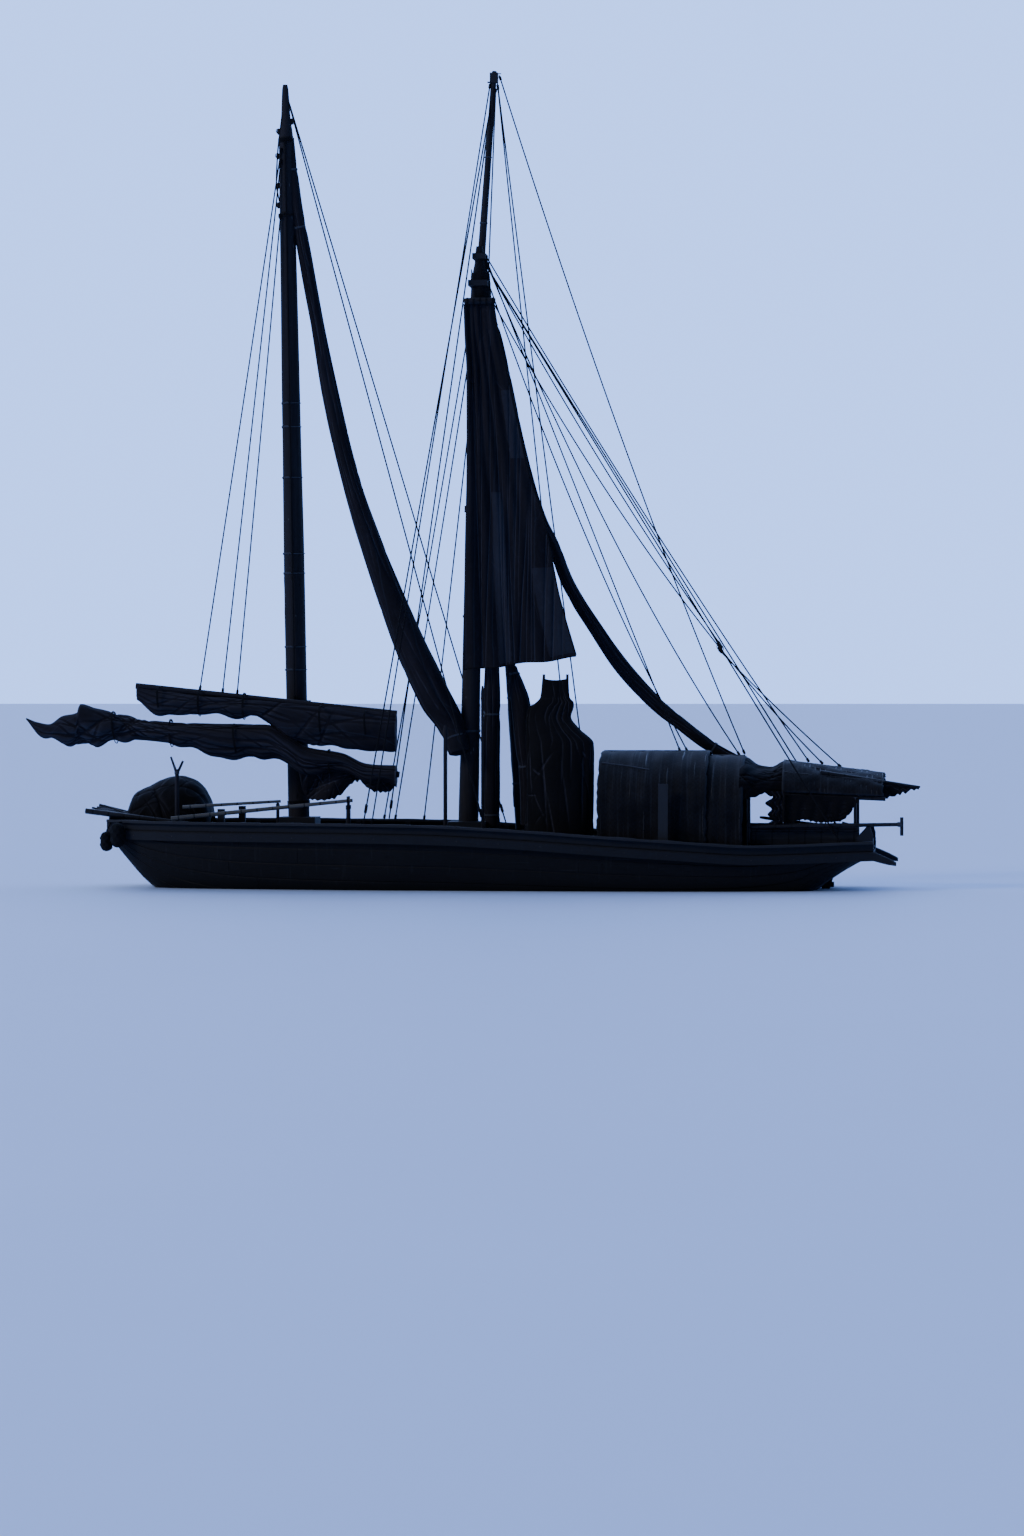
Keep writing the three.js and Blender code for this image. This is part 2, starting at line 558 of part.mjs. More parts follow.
function roof(rows) {
  return loft(rows.map(([x, half, eave, ridge]) => {
    const outer = archOutline(half, eave, eave + EAVE_LIP, ridge);
    const inner = archOutline(half - ROOF_MAT, eave, eave + EAVE_LIP, ridge - ROOF_MAT);
    return [...outer, ...inner.reverse()].map(([y, z]) => new THREE.Vector3(x, y, z));
  }));
}

add('canopy_mat', roof(CANOPY), MAT);
add('awning', roof(AWNING), CANVAS);

const CANOPY_RAIL = { width: 62, depth: 45 };
const CANOPY_POSTS = { positions: [3600, 4420], half: 20, y: [630, 674], top: 1110 };
const CANOPY_TIE = { y: [-660, 660], z: [1080, 1115] };
const PORT_RAIL = { x: [3150, 4460], y: [-800, -645], z: [702, 744] };
const canopyRails = [1, -1].map((side) => loft(CANOPY.map(([x, half, eave]) => (
  stripRing(x, half - CANOPY_RAIL.width, half, eave - CANOPY_RAIL.depth, eave - GAP, side)))));
const canopyUprights = CANOPY_POSTS.positions.flatMap((middle) => {
  const x = [middle - CANOPY_POSTS.half, middle + CANOPY_POSTS.half];
  const posts = mirrored({ x, y: CANOPY_POSTS.y, z: [BELOW_DECK, CANOPY_POSTS.top] });
  return [...posts, { x, ...CANOPY_TIE }].map((piece) => block(piece));
});
add('canopy_frame', cut(join(...canopyRails, ...canopyUprights, block(PORT_RAIL)), belowDeck), POLE);

// The curtain hangs against the port rail's outer face; its outline is x from its own middle, then z
const CURTAIN = [
  [-470, 1160], [470, 1122], [440, 1090], [310, 905], [210, 832], [-30, 815], [-230, 850], [-400, 812],
  [-470, 835],
];
const CURTAIN_X = 4030;
const CURTAIN_THICKNESS = 16;
const [canopyFore, canopyAft] = CANOPY;
const canopyTaper = (canopyFore[1] - canopyAft[1]) / (canopyAft[0] - canopyFore[0]);
const railFace = canopyFore[1] - canopyTaper * (CURTAIN_X - canopyFore[0]);
add('canopy_curtain', extrudeSide(CURTAIN, 0, CURTAIN_THICKNESS).rotateZ(Math.atan(canopyTaper))
  .translate(CURTAIN_X, -railFace - GAP - CURTAIN_THICKNESS / 2, 0), CANVAS);

const CANOPY_POLE = { fore: [4000, -480, 1410], aft: [5190, -480, 1240], radius: 30, tipRadius: 12 };
const underRoof = loft(CANOPY.map(([x, half, eave, ridge]) => (
  archOutline(half + GAP, PORT_RAIL.z[1], eave + EAVE_LIP, ridge + GAP)
    .map(([y, z]) => new THREE.Vector3(x, y, z)))));
add('canopy_pole', cut(rod(CANOPY_POLE.fore, CANOPY_POLE.aft, CANOPY_POLE.radius, CANOPY_POLE.tipRadius),
  underRoof), POLE);

// Pole with a cross handle, lying over the port quarter
const POLE_Y = -772;
const HANDLED = { fore: [3180, POLE_Y, 764], aft: [4980, POLE_Y, 800], radius: 25 };
const HANDLE = { low: [4975, POLE_Y, 665], high: [4975, POLE_Y, 885], radius: 21 };
add('t_handled_pole', cut(join(rod(HANDLED.fore, HANDLED.aft, HANDLED.radius),
  rod(HANDLE.low, HANDLE.high, HANDLE.radius)), block(PORT_RAIL, GAP), horn(-1, GAP)), POLE);

// Covered gear on the foredeck; columns: x, half width, top height
const HEAP = [
  [-4505, 230, 930], [-4430, 330, 1120], [-4250, 400, 1225], [-4000, 425, 1330], [-3880, 430, 1352],
  [-3700, 415, 1310], [-3570, 370, 1210], [-3490, 300, 1060], [-3455, 200, 880],
];
const HEAP_FOOT = 650;
const HEAP_SPRING = 710;
add('foredeck_heap', cut(loft(HEAP.map(([x, half, top]) => (
  archOutline(half, HEAP_FOOT, HEAP_SPRING, top).map(([y, z]) => new THREE.Vector3(x, y, z))))), belowDeck),
CANVAS);

// Forked crutch under the lowered boom
const CRUTCH = { x: -3790, y: -640, foot: 600, fork: 1380, top: 1440, radius: 28, reach: 75, prong: 18 };
const crutchPoint = (reach, z) => [CRUTCH.x + reach, CRUTCH.y, z];
// columns: reach fore or aft of the post, height of the prong's tip
const PRONGS = [[-CRUTCH.reach, 1590], [CRUTCH.reach, 1540]].map(([reach, tip]) => (
  rod(crutchPoint(0, CRUTCH.fork), crutchPoint(reach, tip), CRUTCH.prong)));
const crutchPost = rod(crutchPoint(0, CRUTCH.foot), crutchPoint(0, CRUTCH.top), CRUTCH.radius);
add('boom_crutch', cut(join(crutchPost, ...PRONGS), belowDeck), POLE);

// Canvas slung on two posts abaft the main mast and drawn down over the gear beneath
const COVER_POSTS = { positions: [660, 945], y: -385, foot: 500, top: 2590, radius: 18 };
const COVER_BAR = { x: COVER_POSTS.positions, y: [-397, -373], z: [1200, 1230] };
const coverPosts = (grow) => COVER_POSTS.positions.map((x) => (
  rod([x, COVER_POSTS.y, COVER_POSTS.foot - grow], [x, COVER_POSTS.y, COVER_POSTS.top + grow],
    COVER_POSTS.radius + grow)));
add('cover_posts', cut(join(...coverPosts(0), block(COVER_BAR)), belowDeck), POLE);
// columns: z, x of the fore edge, x of the aft edge, y of the middle, half thickness
const COVER = [
  [2560, 642, 965, -417, 15], [2310, 618, 985, -440, 30], [2245, 560, 1034, -455, 45],
  [2190, 480, 1030, -465, 60], [2080, 452, 1000, -480, 75], [1940, 448, 1100, -520, 110],
  [1760, 450, 1280, -560, 150], [1600, 452, 1290, -590, 170], [1200, 455, 1290, -620, 185],
  [560, 450, 1290, -650, 200],
];
add('canvas_cover', cut(loft(COVER.map(([z, fore, aft, y, half]) => (
  Array.from({ length: CLOTH_SIDES }, (_, k) => {
    const angle = (2 * Math.PI * k) / CLOTH_SIDES;
    return new THREE.Vector3((fore + aft) / 2 + ((aft - fore) / 2) * Math.cos(angle),
      y + half * Math.sin(angle), z);
  })))), belowDeck, ...coverPosts(GAP), block(COVER_BAR, GAP)), CANVAS);

const SIDE_POST = { x: [2090, 2205], y: [-1050, -1010], z: [400, 1280] };
add('side_post', cut(block(SIDE_POST), belowDeck), WEATHERED);
const LEANING_SPAR = { foot: [320, 330, 500], head: [50, 158, 4900], radius: 67, headRadius: 58 };
add('leaning_spar', cut(rod(LEANING_SPAR.foot, LEANING_SPAR.head, LEANING_SPAR.radius, LEANING_SPAR.headRadius),
  belowDeck, mainMastGrown), POLE);

// Main stays, each straight from a masthead to the caprail
// columns: name, head, foot
const STAYS = [
  ['main_forestay', [-15, 155, 9700], [-1450, 1175, 700]],
  ['main_backstay', [-166, 0, 7700], [4300, 855, 500]],
  ['fore_backstay', [-2556, 0, 9740], [60, 1200, 650]],
];
const mastCutters = [foremastGrown, mainMastGrown, topmastGrown];
for (const [stay, head, foot] of STAYS) {
  for (const [sideName, side] of SIDES) {
    const line = rod(head, [foot[0], side * foot[1], foot[2]], STAY_RADIUS, STAY_RADIUS, 8);
    add(`${stay}_${sideName}`, cut(line, belowCaprail, ...mastCutters), ROPE);
  }
}

export default junk;
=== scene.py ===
"""Looks of a small two-masted Chinese junk with furled and hanging sails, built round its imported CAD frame.

Metres. +X runs aft, +Y to starboard, +Z up, and the origin is amidships on the waterline.
"""

import math
import random
from collections import namedtuple

import bpy
import numpy as np
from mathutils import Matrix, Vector


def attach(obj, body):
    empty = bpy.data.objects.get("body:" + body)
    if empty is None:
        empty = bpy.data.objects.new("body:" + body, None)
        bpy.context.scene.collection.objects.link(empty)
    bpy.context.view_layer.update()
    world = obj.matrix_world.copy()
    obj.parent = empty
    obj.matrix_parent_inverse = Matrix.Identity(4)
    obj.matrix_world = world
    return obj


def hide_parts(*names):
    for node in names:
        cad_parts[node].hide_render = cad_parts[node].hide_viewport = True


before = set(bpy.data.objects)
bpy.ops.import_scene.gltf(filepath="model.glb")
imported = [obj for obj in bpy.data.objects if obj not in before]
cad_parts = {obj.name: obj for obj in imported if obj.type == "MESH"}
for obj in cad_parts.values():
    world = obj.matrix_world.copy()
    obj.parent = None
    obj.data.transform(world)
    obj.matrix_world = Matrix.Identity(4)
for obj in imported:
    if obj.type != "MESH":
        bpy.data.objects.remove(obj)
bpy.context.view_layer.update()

bl_info = {
    "name": "Chinese junk",
    "version": (1, 0, 0),
    "blender": (4, 5, 0),
    "location": "View3D > Sidebar > Junk",
    "description": "Builds the planked hull, masts, furled sails, mats and rigging of a small junk",
    "category": "Object",
}

MM = 0.001
TAU = 2 * math.pi
HULL = "hull"
FORESAIL = "lowered_foresail"
MAIN_SAIL = "main_yard_and_sail"
RUDDER = "rudder_and_tiller"
SIDES = (("port", -1), ("starboard", 1))

# Hull stations from bow to stern
# columns: x, top of caprail, half breadth at deck, half breadth of floor, floor height
STATIONS = np.array([
    [-4.680, 0.830, 0.520, 0.430, 0.650],
    [-4.480, 0.825, 0.640, 0.440, 0.400],
    [-4.120, 0.818, 0.790, 0.450, 0.020],
    [-3.600, 0.812, 0.930, 0.460, -0.270],
    [-2.900, 0.808, 1.050, 0.500, -0.430],
    [-1.900, 0.803, 1.160, 0.540, -0.500],
    [-0.800, 0.790, 1.230, 0.560, -0.520],
    [0.400, 0.735, 1.230, 0.560, -0.520],
    [1.400, 0.665, 1.210, 0.550, -0.510],
    [2.400, 0.600, 1.150, 0.510, -0.460],
    [3.200, 0.555, 1.050, 0.440, -0.360],
    [3.700, 0.565, 0.970, 0.380, -0.220],
    [3.960, 0.575, 0.920, 0.340, 0.000],
    [4.280, 0.587, 0.860, 0.320, 0.225],
    [4.640, 0.598, 0.790, 0.310, 0.430],
])
BOW_X = STATIONS[0, 0]
STERN_X = STATIONS[-1, 0]
DECK_DROP = 0.090
DECK_THICKNESS = 0.025
CAPRAIL_HEIGHT = 0.035
BULWARK_THICKNESS = 0.045
# The open well that the rudder's stock passes through
TRUNK_START = 3.900
TRUNK_HALF = 0.085

# Masts: axis from foot to head; columns of the girth: height, radius
Mast = namedtuple("Mast", "foot head girth")
FOREMAST = Mast((-2.390, 0, 0.650), (-2.557, 0, 9.800), np.array([
    [0.65, 0.132], [4.10, 0.130], [5.33, 0.118], [7.62, 0.104], [8.70, 0.094], [9.14, 0.090],
    [9.27, 0.076], [9.38, 0.060], [9.58, 0.050], [9.80, 0.036]]))
MAIN_MAST = Mast((-0.305, 0, 0.600), (-0.165, 0, 7.800), np.array([
    [0.60, 0.128], [2.30, 0.116], [7.20, 0.100], [7.48, 0.080], [7.56, 0.060], [7.80, 0.052]]))
TOPMAST = Mast((-0.196, 0.155, 7.200), (0.0, 0.155, 9.950), np.array([[7.20, 0.052], [9.95, 0.034]]))
FORE_SAIL_Y = -0.400
MAIN_SAIL_Y = -0.200


# Sizes and colours that a user would change
def linear(hex_colour):
    """An sRGB hex value as linear red, green, blue and alpha."""
    values = [int(hex_colour[i:i + 2], 16) / 255 for i in (1, 3, 5)]
    return [v / 12.92 if v <= 0.04045 else ((v + 0.055) / 1.055) ** 2.4 for v in values] + [1.0]


def size_property(name, description, default):
    return bpy.props.FloatProperty(name=name, description=description, default=default, min=0.0,
                                   unit="LENGTH")


def colour_property(name, description, hex_colour):
    return bpy.props.FloatVectorProperty(name=name, description=description, size=4, min=0.0, max=1.0,
                                         subtype="COLOR", default=linear(hex_colour))


class JunkSizes(bpy.types.PropertyGroup):
    """Sizes of the details that the CAD frame doesn't settle."""
    deck_board: size_property("Deck board", "Width of one deck board", 0.150)
    seam_depth: size_property("Seam depth", "Depth of the seams between planks", 0.006)
    line: size_property("Line", "Radius of the running rigging", 0.0085)
    stay: size_property("Stay", "Radius of the main stays", 0.009)
    lath_gap: size_property("Lath gap", "Distance between the laths on the canopy", 0.062)
    mat: size_property("Mat", "Thickness of the bamboo mats", 0.014)
    pleat: size_property("Pleat", "Depth of the pleats in the furled cloth", 0.030)


class JunkColours(bpy.types.PropertyGroup):
    """Colours of the junk's materials."""
    tar: colour_property("Tarred wood", "Planking brushed with tar and oil", "#131113")
    boards: colour_property("Weathered boards", "Bare boards and rails", "#1c1a1d")
    spar: colour_property("Spars", "Oiled fir of masts, booms and yards", "#222023")
    cloth: colour_property("Sailcloth", "Dyed cotton of the sails", "#1e1c20")
    patch: colour_property("Patch cloth", "Paler cotton of the patches", "#2a2a31")
    canvas: colour_property("Canvas", "Worn tarpaulin and covers", "#100f11")
    mat: colour_property("Bamboo mat", "Woven split bamboo, weathered", "#171517")
    pole: colour_property("Poles", "Tarred bamboo and light poles", "#222226")
    pale_pole: colour_property("Bare poles", "Peeled bamboo kept bare", "#55544f")
    rope: colour_property("Rope", "Tarred hemp rope", "#131315")
    twine: colour_property("Twine", "Dry twine of the ties", "#3c3f47")
    floor: colour_property("Floor", "Plain pale studio floor", "#c3d0e8")


def sizes():
    return bpy.context.scene.junk_sizes


def colours():
    return bpy.context.scene.junk_colours


# Small tools
def follow(table, at):
    """The other columns of a table at given values of its first, on smooth curves without overshoot."""
    x = table[:, 0]
    y = table[:, 1:]
    if x[0] > x[-1]:
        x = x[::-1]
        y = y[::-1]
    step = np.diff(x)[:, None]
    slope = np.diff(y, axis=0) / step
    tangent = np.zeros_like(y)
    tangent[0] = slope[0]
    tangent[-1] = slope[-1]
    same = slope[:-1] * slope[1:] > 0
    weight = (2 * step[1:] + step[:-1], step[1:] + 2 * step[:-1])
    with np.errstate(divide="ignore", invalid="ignore"):
        mean = (weight[0] + weight[1]) / (weight[0] / slope[:-1] + weight[1] / slope[1:])
    tangent[1:-1] = np.where(same, mean, 0.0)
    at = np.atleast_1d(np.asarray(at, float))
    i = np.clip(np.searchsorted(x, at) - 1, 0, len(x) - 2)
    h = step[i]
    t = np.clip((at[:, None] - x[i][:, None]) / h, 0, 1)
    rise = (1 + 2 * t) * (1 - t) ** 2 * y[i] + t * (1 - t) ** 2 * h * tangent[i]
    fall = t * t * (3 - 2 * t) * y[i + 1] + t * t * (t - 1) * h * tangent[i + 1]
    return rise + fall


def over(table, steps):
    """Even steps over a table's first column."""
    return np.linspace(table[0, 0], table[-1, 0], steps)


def upright(table, at):
    """The other columns of a table at given values, each as a column that a grid can use."""
    return [column[:, None] for column in follow(table, at).T]


def grid(x, y, z):
    """Points from coordinates that are single numbers, lines or grids."""
    return np.stack(np.broadcast_arrays(x, y, z), axis=-1)


def distance(points):
    """The distance run along a line of points."""
    return np.concatenate([[0.0], np.cumsum(np.linalg.norm(np.diff(points, axis=0), axis=1))])


def straight(start, end, steps, first=0.0, last=1.0):
    """Points in even steps between two shares of the line from start to end."""
    share = np.linspace(first, last, steps)[:, None]
    return np.array(start, float) * (1 - share) + np.array(end, float) * share


def full_turn(count):
    return np.arange(count) * TAU / count


def along(mast, z):
    """The point of a mast's axis at a height."""
    foot, head = np.array(mast.foot), np.array(mast.head)
    return foot + (head - foot) * ((z - foot[2]) / (head[2] - foot[2]))


def girth(mast, z):
    """The radius of a mast at a height."""
    return float(follow(mast.girth, z)[0, 0])


def rail_line(x):
    """Height of the caprail's top and half breadth of the deck at one station or many."""
    sheer, half = follow(STATIONS, x)[:, :2].T
    return (sheer, half) if np.ndim(x) else (sheer[0], half[0])


def ripple(u, v, seed, count=5, low=1.0, high=3.0):
    """A smooth irregular field between about -1 and 1 over two coordinates, the same on each run."""
    draw = random.Random(seed)
    total = 0.0
    for _ in range(count):
        a = draw.uniform(low, high) * draw.choice((-1, 1))
        b = draw.uniform(low, high)
        total = total + np.sin(a * u + b * v + draw.uniform(0, TAU))
    return total / math.sqrt(count)


def creases(u, v, around, seed, count, reach, depth, width=0.016, slant=0.15, lean=0.0, span=(0, 1)):
    """Sharp folds of cloth: random short valleys over u along and v around, in metres."""
    draw = random.Random(seed)
    low, high = (u.min() + s * (u.max() - u.min()) for s in span)
    total = 0.0
    for _ in range(count):
        ahead = u - draw.uniform(low, high)
        aside = (v - draw.uniform(0, around) + around / 2) % around - around / 2
        turn = lean + draw.gauss(0, slant)
        half = reach * draw.uniform(0.5, 1.5)
        p = ahead * math.cos(turn) + aside * math.sin(turn)
        q = aside * math.cos(turn) - ahead * math.sin(turn)
        total = total + draw.uniform(0.4, 1.0) * np.exp(-(p / half) ** 2 - np.abs(q) / width)
    return depth * np.minimum(total, 1.8)


def bump_at(x, middle, width):
    """1 at the middle and falling to 0 beyond the width."""
    return np.exp(-((x - middle) / width) ** 2)


class Shape:
    """Points, faces and surface coordinates of one piece, gathered until it becomes an object."""

    def __init__(self):
        self.points = []
        self.faces = []
        self.surface = []
        self.finish = []
        self.count = 0

    def add(self, points, faces, surface, finishes):
        self.points.append(np.asarray(points, float).reshape(-1, 3))
        self.faces.extend(tuple(self.count + i for i in face) for face in faces)
        self.surface.extend(surface)
        self.finish.extend(finishes)
        self.count += len(self.points[-1])
        return self

    def loft(self, rings, around=True, ends=True, finish=0, patch=None, hole=None):
        """Quads through rings of equal count. Coordinates u and v are metres along and around."""
        rings = np.asarray(rings, float)
        rows, columns = rings.shape[:2]
        points = rings.reshape(-1, 3)
        middle = rings.mean(axis=1)
        if around:
            u = distance(middle)
            closed = np.concatenate([rings, rings[:, :1]], axis=1)
        else:
            steps = np.linalg.norm(np.diff(rings, axis=0), axis=2).mean(axis=1)
            u = np.concatenate([[0.0], np.cumsum(steps)])
            closed = rings
        v = np.array([distance(ring) for ring in closed])
        faces = []
        surface = []
        kinds = []
        for i in range(rows - 1):
            for j in range(closed.shape[1] - 1):
                if hole is not None and hole(i, j):
                    continue
                k = (j + 1) % columns
                faces.append((i * columns + j, i * columns + k, (i + 1) * columns + k, (i + 1) * columns + j))
                surface += [(u[i], v[i, j]), (u[i], v[i, j + 1])]
                surface += [(u[i + 1], v[i + 1, j + 1]), (u[i + 1], v[i + 1, j])]
                kinds.append(finish if patch is None else patch(i, j))
        if around and ends:
            points = np.concatenate([points, middle[[0, -1]]])
            for row, centre, turn in ((0, rows * columns, -1), (rows - 1, rows * columns + 1, 1)):
                for j in range(columns):
                    pair = (row * columns + j, row * columns + (j + 1) % columns)
                    faces.append((*pair[::turn], centre))
                    surface += [(u[row], v[row, j]), (u[row], v[row, j + 1]), (u[row], v[row, j])]
                    kinds.append(finish)
        return self.add(points, faces, surface, kinds)

    def sheet(self, x, y, z, **settings):
        """An open surface through a grid of points."""
        return self.loft(grid(x, y, z), around=False, **settings)

    def tube(self, centres, radii, sides=12, finish=0):
        """A round bar along a line of points. Radii is one number, one a point, or a row a point."""
        centres = np.asarray(centres, float)
        forward = np.gradient(centres, axis=0)
        forward /= np.linalg.norm(forward, axis=1)[:, None]
        most = abs(forward).max(axis=0)
        helper = np.array([0.0, 1.0, 0.0])
        if most[1] > 0.9:
            helper = np.array([0.0, 0.0, 1.0]) if most[2] < 0.9 else np.array([1.0, 0.0, 0.0])
        across = np.cross(forward, helper)
        across /= np.linalg.norm(across, axis=1)[:, None]
        up = np.cross(across, forward)
        angle = full_turn(sides)
        radii = np.asarray(radii, float)
        radii = np.broadcast_to(radii[:, None] if radii.ndim == 1 else radii, (len(centres), sides))
        rings = (centres[:, None] + across[:, None] * (np.cos(angle) * radii)[..., None]
                 + up[:, None] * (np.sin(angle) * radii)[..., None])
        return self.loft(rings, finish=finish)

    def bar(self, start, end, radius, end_radius=None, sides=12, steps=2, finish=0):
        """A straight round bar."""
        last = radius if end_radius is None else end_radius
        return self.tube(straight(start, end, steps), np.linspace(radius, last, steps), sides, finish)

    def coil(self, centre, axis, radius, turns, rope, finish=0, stretch=1.0):
        """Turns of rope round an axis, as a lashing."""
        axis = Vector(axis).normalized()
        side = axis.orthogonal().normalized()
        other = axis.cross(side)
        steps = max(10, int(14 * turns))
        angle = np.linspace(0, TAU * turns, steps + 1)
        rise = np.linspace(-0.5, 0.5, steps + 1) * 2 * rope * turns
        line = (np.array(centre, float) + np.outer(np.cos(angle) * radius, side)
                + np.outer(np.sin(angle) * radius * stretch, other) + np.outer(rise, axis))
        return self.tube(line, rope, 6, finish)

    def board(self, x, low_y, high_y, low_z, high_z, edge=0.004):
        """A sawn timber along X through rows of sizes, with eased edges."""
        x, y0, y1, z0, z1 = np.broadcast_arrays(x, low_y, high_y, low_z, high_z)
        ring = [(y0, z0), (y1, z0), (y1, z1 - edge), (y1 - edge, z1), (y0 + edge, z1), (y0, z1 - edge)]
        return self.loft(np.stack([grid(x, y, z) for y, z in ring], axis=1))

    def side_board(self, side, x, inner, outer, low_z, high_z, edge=0.004):
        """A timber that lies between two half breadths on one side of the boat."""
        y = (inner, outer) if side > 0 else (-outer, -inner)
        return self.board(x, *y, low_z, high_z, edge)

    def piece(self, name, slot, finishes, replaces=(), angle=40, body=HULL):
        """Makes the object, which rides on its body."""
        mesh = bpy.data.meshes.new(name)
        mesh.from_pydata(np.concatenate(self.points).tolist(), [], self.faces)
        layer = mesh.uv_layers.new(name="Surface")
        layer.uv.foreach_set("vector", np.asarray(self.surface, np.float32).ravel())
        for finish in finishes:
            mesh.materials.append(finish_named(finish))
        mesh.polygons.foreach_set("material_index", self.finish)
        mesh.update()
        made = bpy.data.objects.new(name, mesh)
        bpy.context.scene.collection.objects.link(made)
        mesh.shade_smooth()
        mesh.set_sharp_from_angle(angle=math.radians(angle))
        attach(made, body)
        if replaces:
            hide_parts(*replaces)
        return made


# Materials
PLAIN_IOR = 1.5
SKY_SHEEN = "#b8c0d4"
# Texture nodes by the kind of pattern: node, the output that is used, settings
PATTERNS = {
    "noise": ("ShaderNodeTexNoise", 0, {"Scale": 1.0, "Detail": 3.0}),
    "cells": ("ShaderNodeTexVoronoi", 0, {"Scale": 1.0}),
    "weave": ("ShaderNodeTexChecker", 1, {"Scale": 1.0, "Color1": (0, 0, 0, 1), "Color2": (1, 1, 1, 1)}),
    "wave": ("ShaderNodeTexWave", 1, {"Scale": 0.5, "wave_type": "BANDS", "bands_direction": "X",
                                      "wave_profile": "SIN", "Detail": 2.0}),
}


def add_node(tree, kind, settings=None, links=None):
    """Adds a node, sets its properties and sockets, and links its inputs."""
    node = tree.nodes.new(kind)
    for key, value in (settings or {}).items():
        if isinstance(key, str) and hasattr(node, key):
            setattr(node, key, value)
        else:
            node.inputs[key].default_value = value
    for key, output in (links or {}).items():
        tree.links.new(output, node.inputs[key])
    return node


def coat(kind, size, cut, tint=None, share=1.0, rough=None, height=None, detail=None, turn=0.0):
    """One layer of a material: kind, size in mm along each coordinate or all, cut (pattern values where
    it starts and is full), tint, share, change of roughness, height in mm, fine detail and turn."""
    return dict(kind=kind, size=size, cut=cut, tint=tint, share=share, rough=rough, height=height,
                detail=detail, turn=turn)


def pattern_of(tree, layer, place):
    """The output that carries a layer's pattern."""
    if layer["kind"] == "edge":
        return add_node(tree, "ShaderNodeNewGeometry").outputs["Pointiness"]
    if layer["kind"] == "height":
        return add_node(tree, "ShaderNodeSeparateXYZ", links={0: place}).outputs["Z"]
    size = layer["size"] if isinstance(layer["size"], (tuple, list)) else [layer["size"]] * 3
    scaled = add_node(tree, "ShaderNodeMapping", {"Scale": [1 / (s * MM) for s in size],
                                                  "Rotation": (0, 0, layer["turn"])}, {"Vector": place})
    node, output, settings = PATTERNS[layer["kind"]]
    if layer["detail"] is not None:
        settings = {**settings, "Detail": layer["detail"]}
    return add_node(tree, node, settings, {"Vector": scaled.outputs[0]}).outputs[output]


def layered(name, colour, roughness, layers, source="Object", sheen=0.0, specular=0.5):
    """A material of patterns over a base colour."""
    material = bpy.data.materials.new(name)
    material.use_nodes = True
    tree = material.node_tree
    shader = tree.nodes["Principled BSDF"]
    shader.inputs["Base Color"].default_value = colour
    shader.inputs["Roughness"].default_value = roughness
    shader.inputs["IOR"].default_value = PLAIN_IOR
    shader.inputs["Specular IOR Level"].default_value = specular
    if sheen:
        shader.inputs["Sheen Weight"].default_value = sheen
        shader.inputs["Sheen Tint"].default_value = linear(SKY_SHEEN)
    place = add_node(tree, "ShaderNodeTexCoord").outputs[source]
    ends = {}

    def stack_on(channel, node, socket, output):
        """Puts a node over what a channel has so far."""
        if channel in ends:
            tree.links.new(ends[channel], node.inputs[socket])
        ends[channel] = node.outputs[output]

    for layer in layers:
        low, high = layer["cut"]
        share = add_node(tree, "ShaderNodeMapRange", {"From Min": low, "From Max": high},
                         {0: pattern_of(tree, layer, place)}).outputs[0]
        if layer["tint"]:
            weight = add_node(tree, "ShaderNodeMath", {"operation": "MULTIPLY", 1: layer["share"]},
                              {0: share}).outputs[0]
            mix = add_node(tree, "ShaderNodeMix", {"data_type": "RGBA", 6: list(colour),
                                                   7: linear(layer["tint"])}, {0: weight})
            stack_on("Base Color", mix, 6, 2)
        for channel, key, start in (("Roughness", "rough", roughness), ("Normal", "height", 0.0)):
            if layer[key] is not None:
                change = add_node(tree, "ShaderNodeMath", {"operation": "MULTIPLY_ADD", 1: layer[key],
                                                           2: start}, {0: share})
                stack_on(channel, change, 2, 0)
    if "Normal" in ends:
        ends["Normal"] = add_node(tree, "ShaderNodeBump", {"Strength": 1.0, "Distance": MM},
                                  {"Height": ends["Normal"]}).outputs[0]
    for channel, output in ends.items():
        tree.links.new(output, shader.inputs[channel])
    return material


def grain(axis, across, length):
    """Pattern sizes in mm for wood whose grain runs along an axis."""
    return [length if name == axis else across for name in "xyz"]


def tarred_wood(axis):
    """Softwood brushed with tar and tung oil: near black, with raised grain ridges painted paler as a painted
    highlight, edges paler from wear and from a painted highlight, pale scuffs, and a wet dark band at the
    waterline."""
    scuffs = (35, 35, 700) if axis != "z" else (40, 40, 900)
    return layered(f"tarred_softwood_{axis}", colours().tar, 0.62, [
        # Raised grain ridges painted paler: a painted highlight
        coat("noise", grain(axis, 9, 260), (0.35, 0.75), "#19191c", 0.55, height=0.5, detail=5.0),
        coat("noise", (900, 900, 420), (0.42, 0.70), "#1b1c20", 0.5, rough=0.12),
        coat("noise", scuffs, (0.60, 0.74), "#2a2b31", 0.45, rough=0.10),
        coat("noise", grain(axis, 14, 700), (0.66, 0.76), "#33353c", 0.35, height=-0.4),
        coat("cells", grain(axis, 55, 240), (0.18, 0.05), "#080809", 0.6, height=-0.8),
        # Convex edges painted paler: partly edge wear, partly a painted highlight
        coat("edge", None, (0.51, 0.58), "#33353c", 0.4, rough=0.08),
        coat("height", None, (0.16, 0.03), "#060607", 0.85, rough=-0.30),
    ], specular=0.18)


def weathered_boards(axis):
    """Bare sawn softwood gone grey: open grain, rounded pale edges, dark nail runs."""
    return layered(f"weathered_softwood_{axis}", colours().boards, 0.78, [
        coat("noise", grain(axis, 7, 300), (0.30, 0.72), "#28292d", 0.7, height=0.7, detail=6.0),
        coat("noise", grain(axis, 160, 900), (0.40, 0.66), "#101012", 0.6),
        coat("noise", grain(axis, 22, 60), (0.62, 0.70), "#07080a", 0.5),
        coat("edge", None, (0.505, 0.56), "#42444a", 0.5, rough=0.05),
    ], specular=0.15)


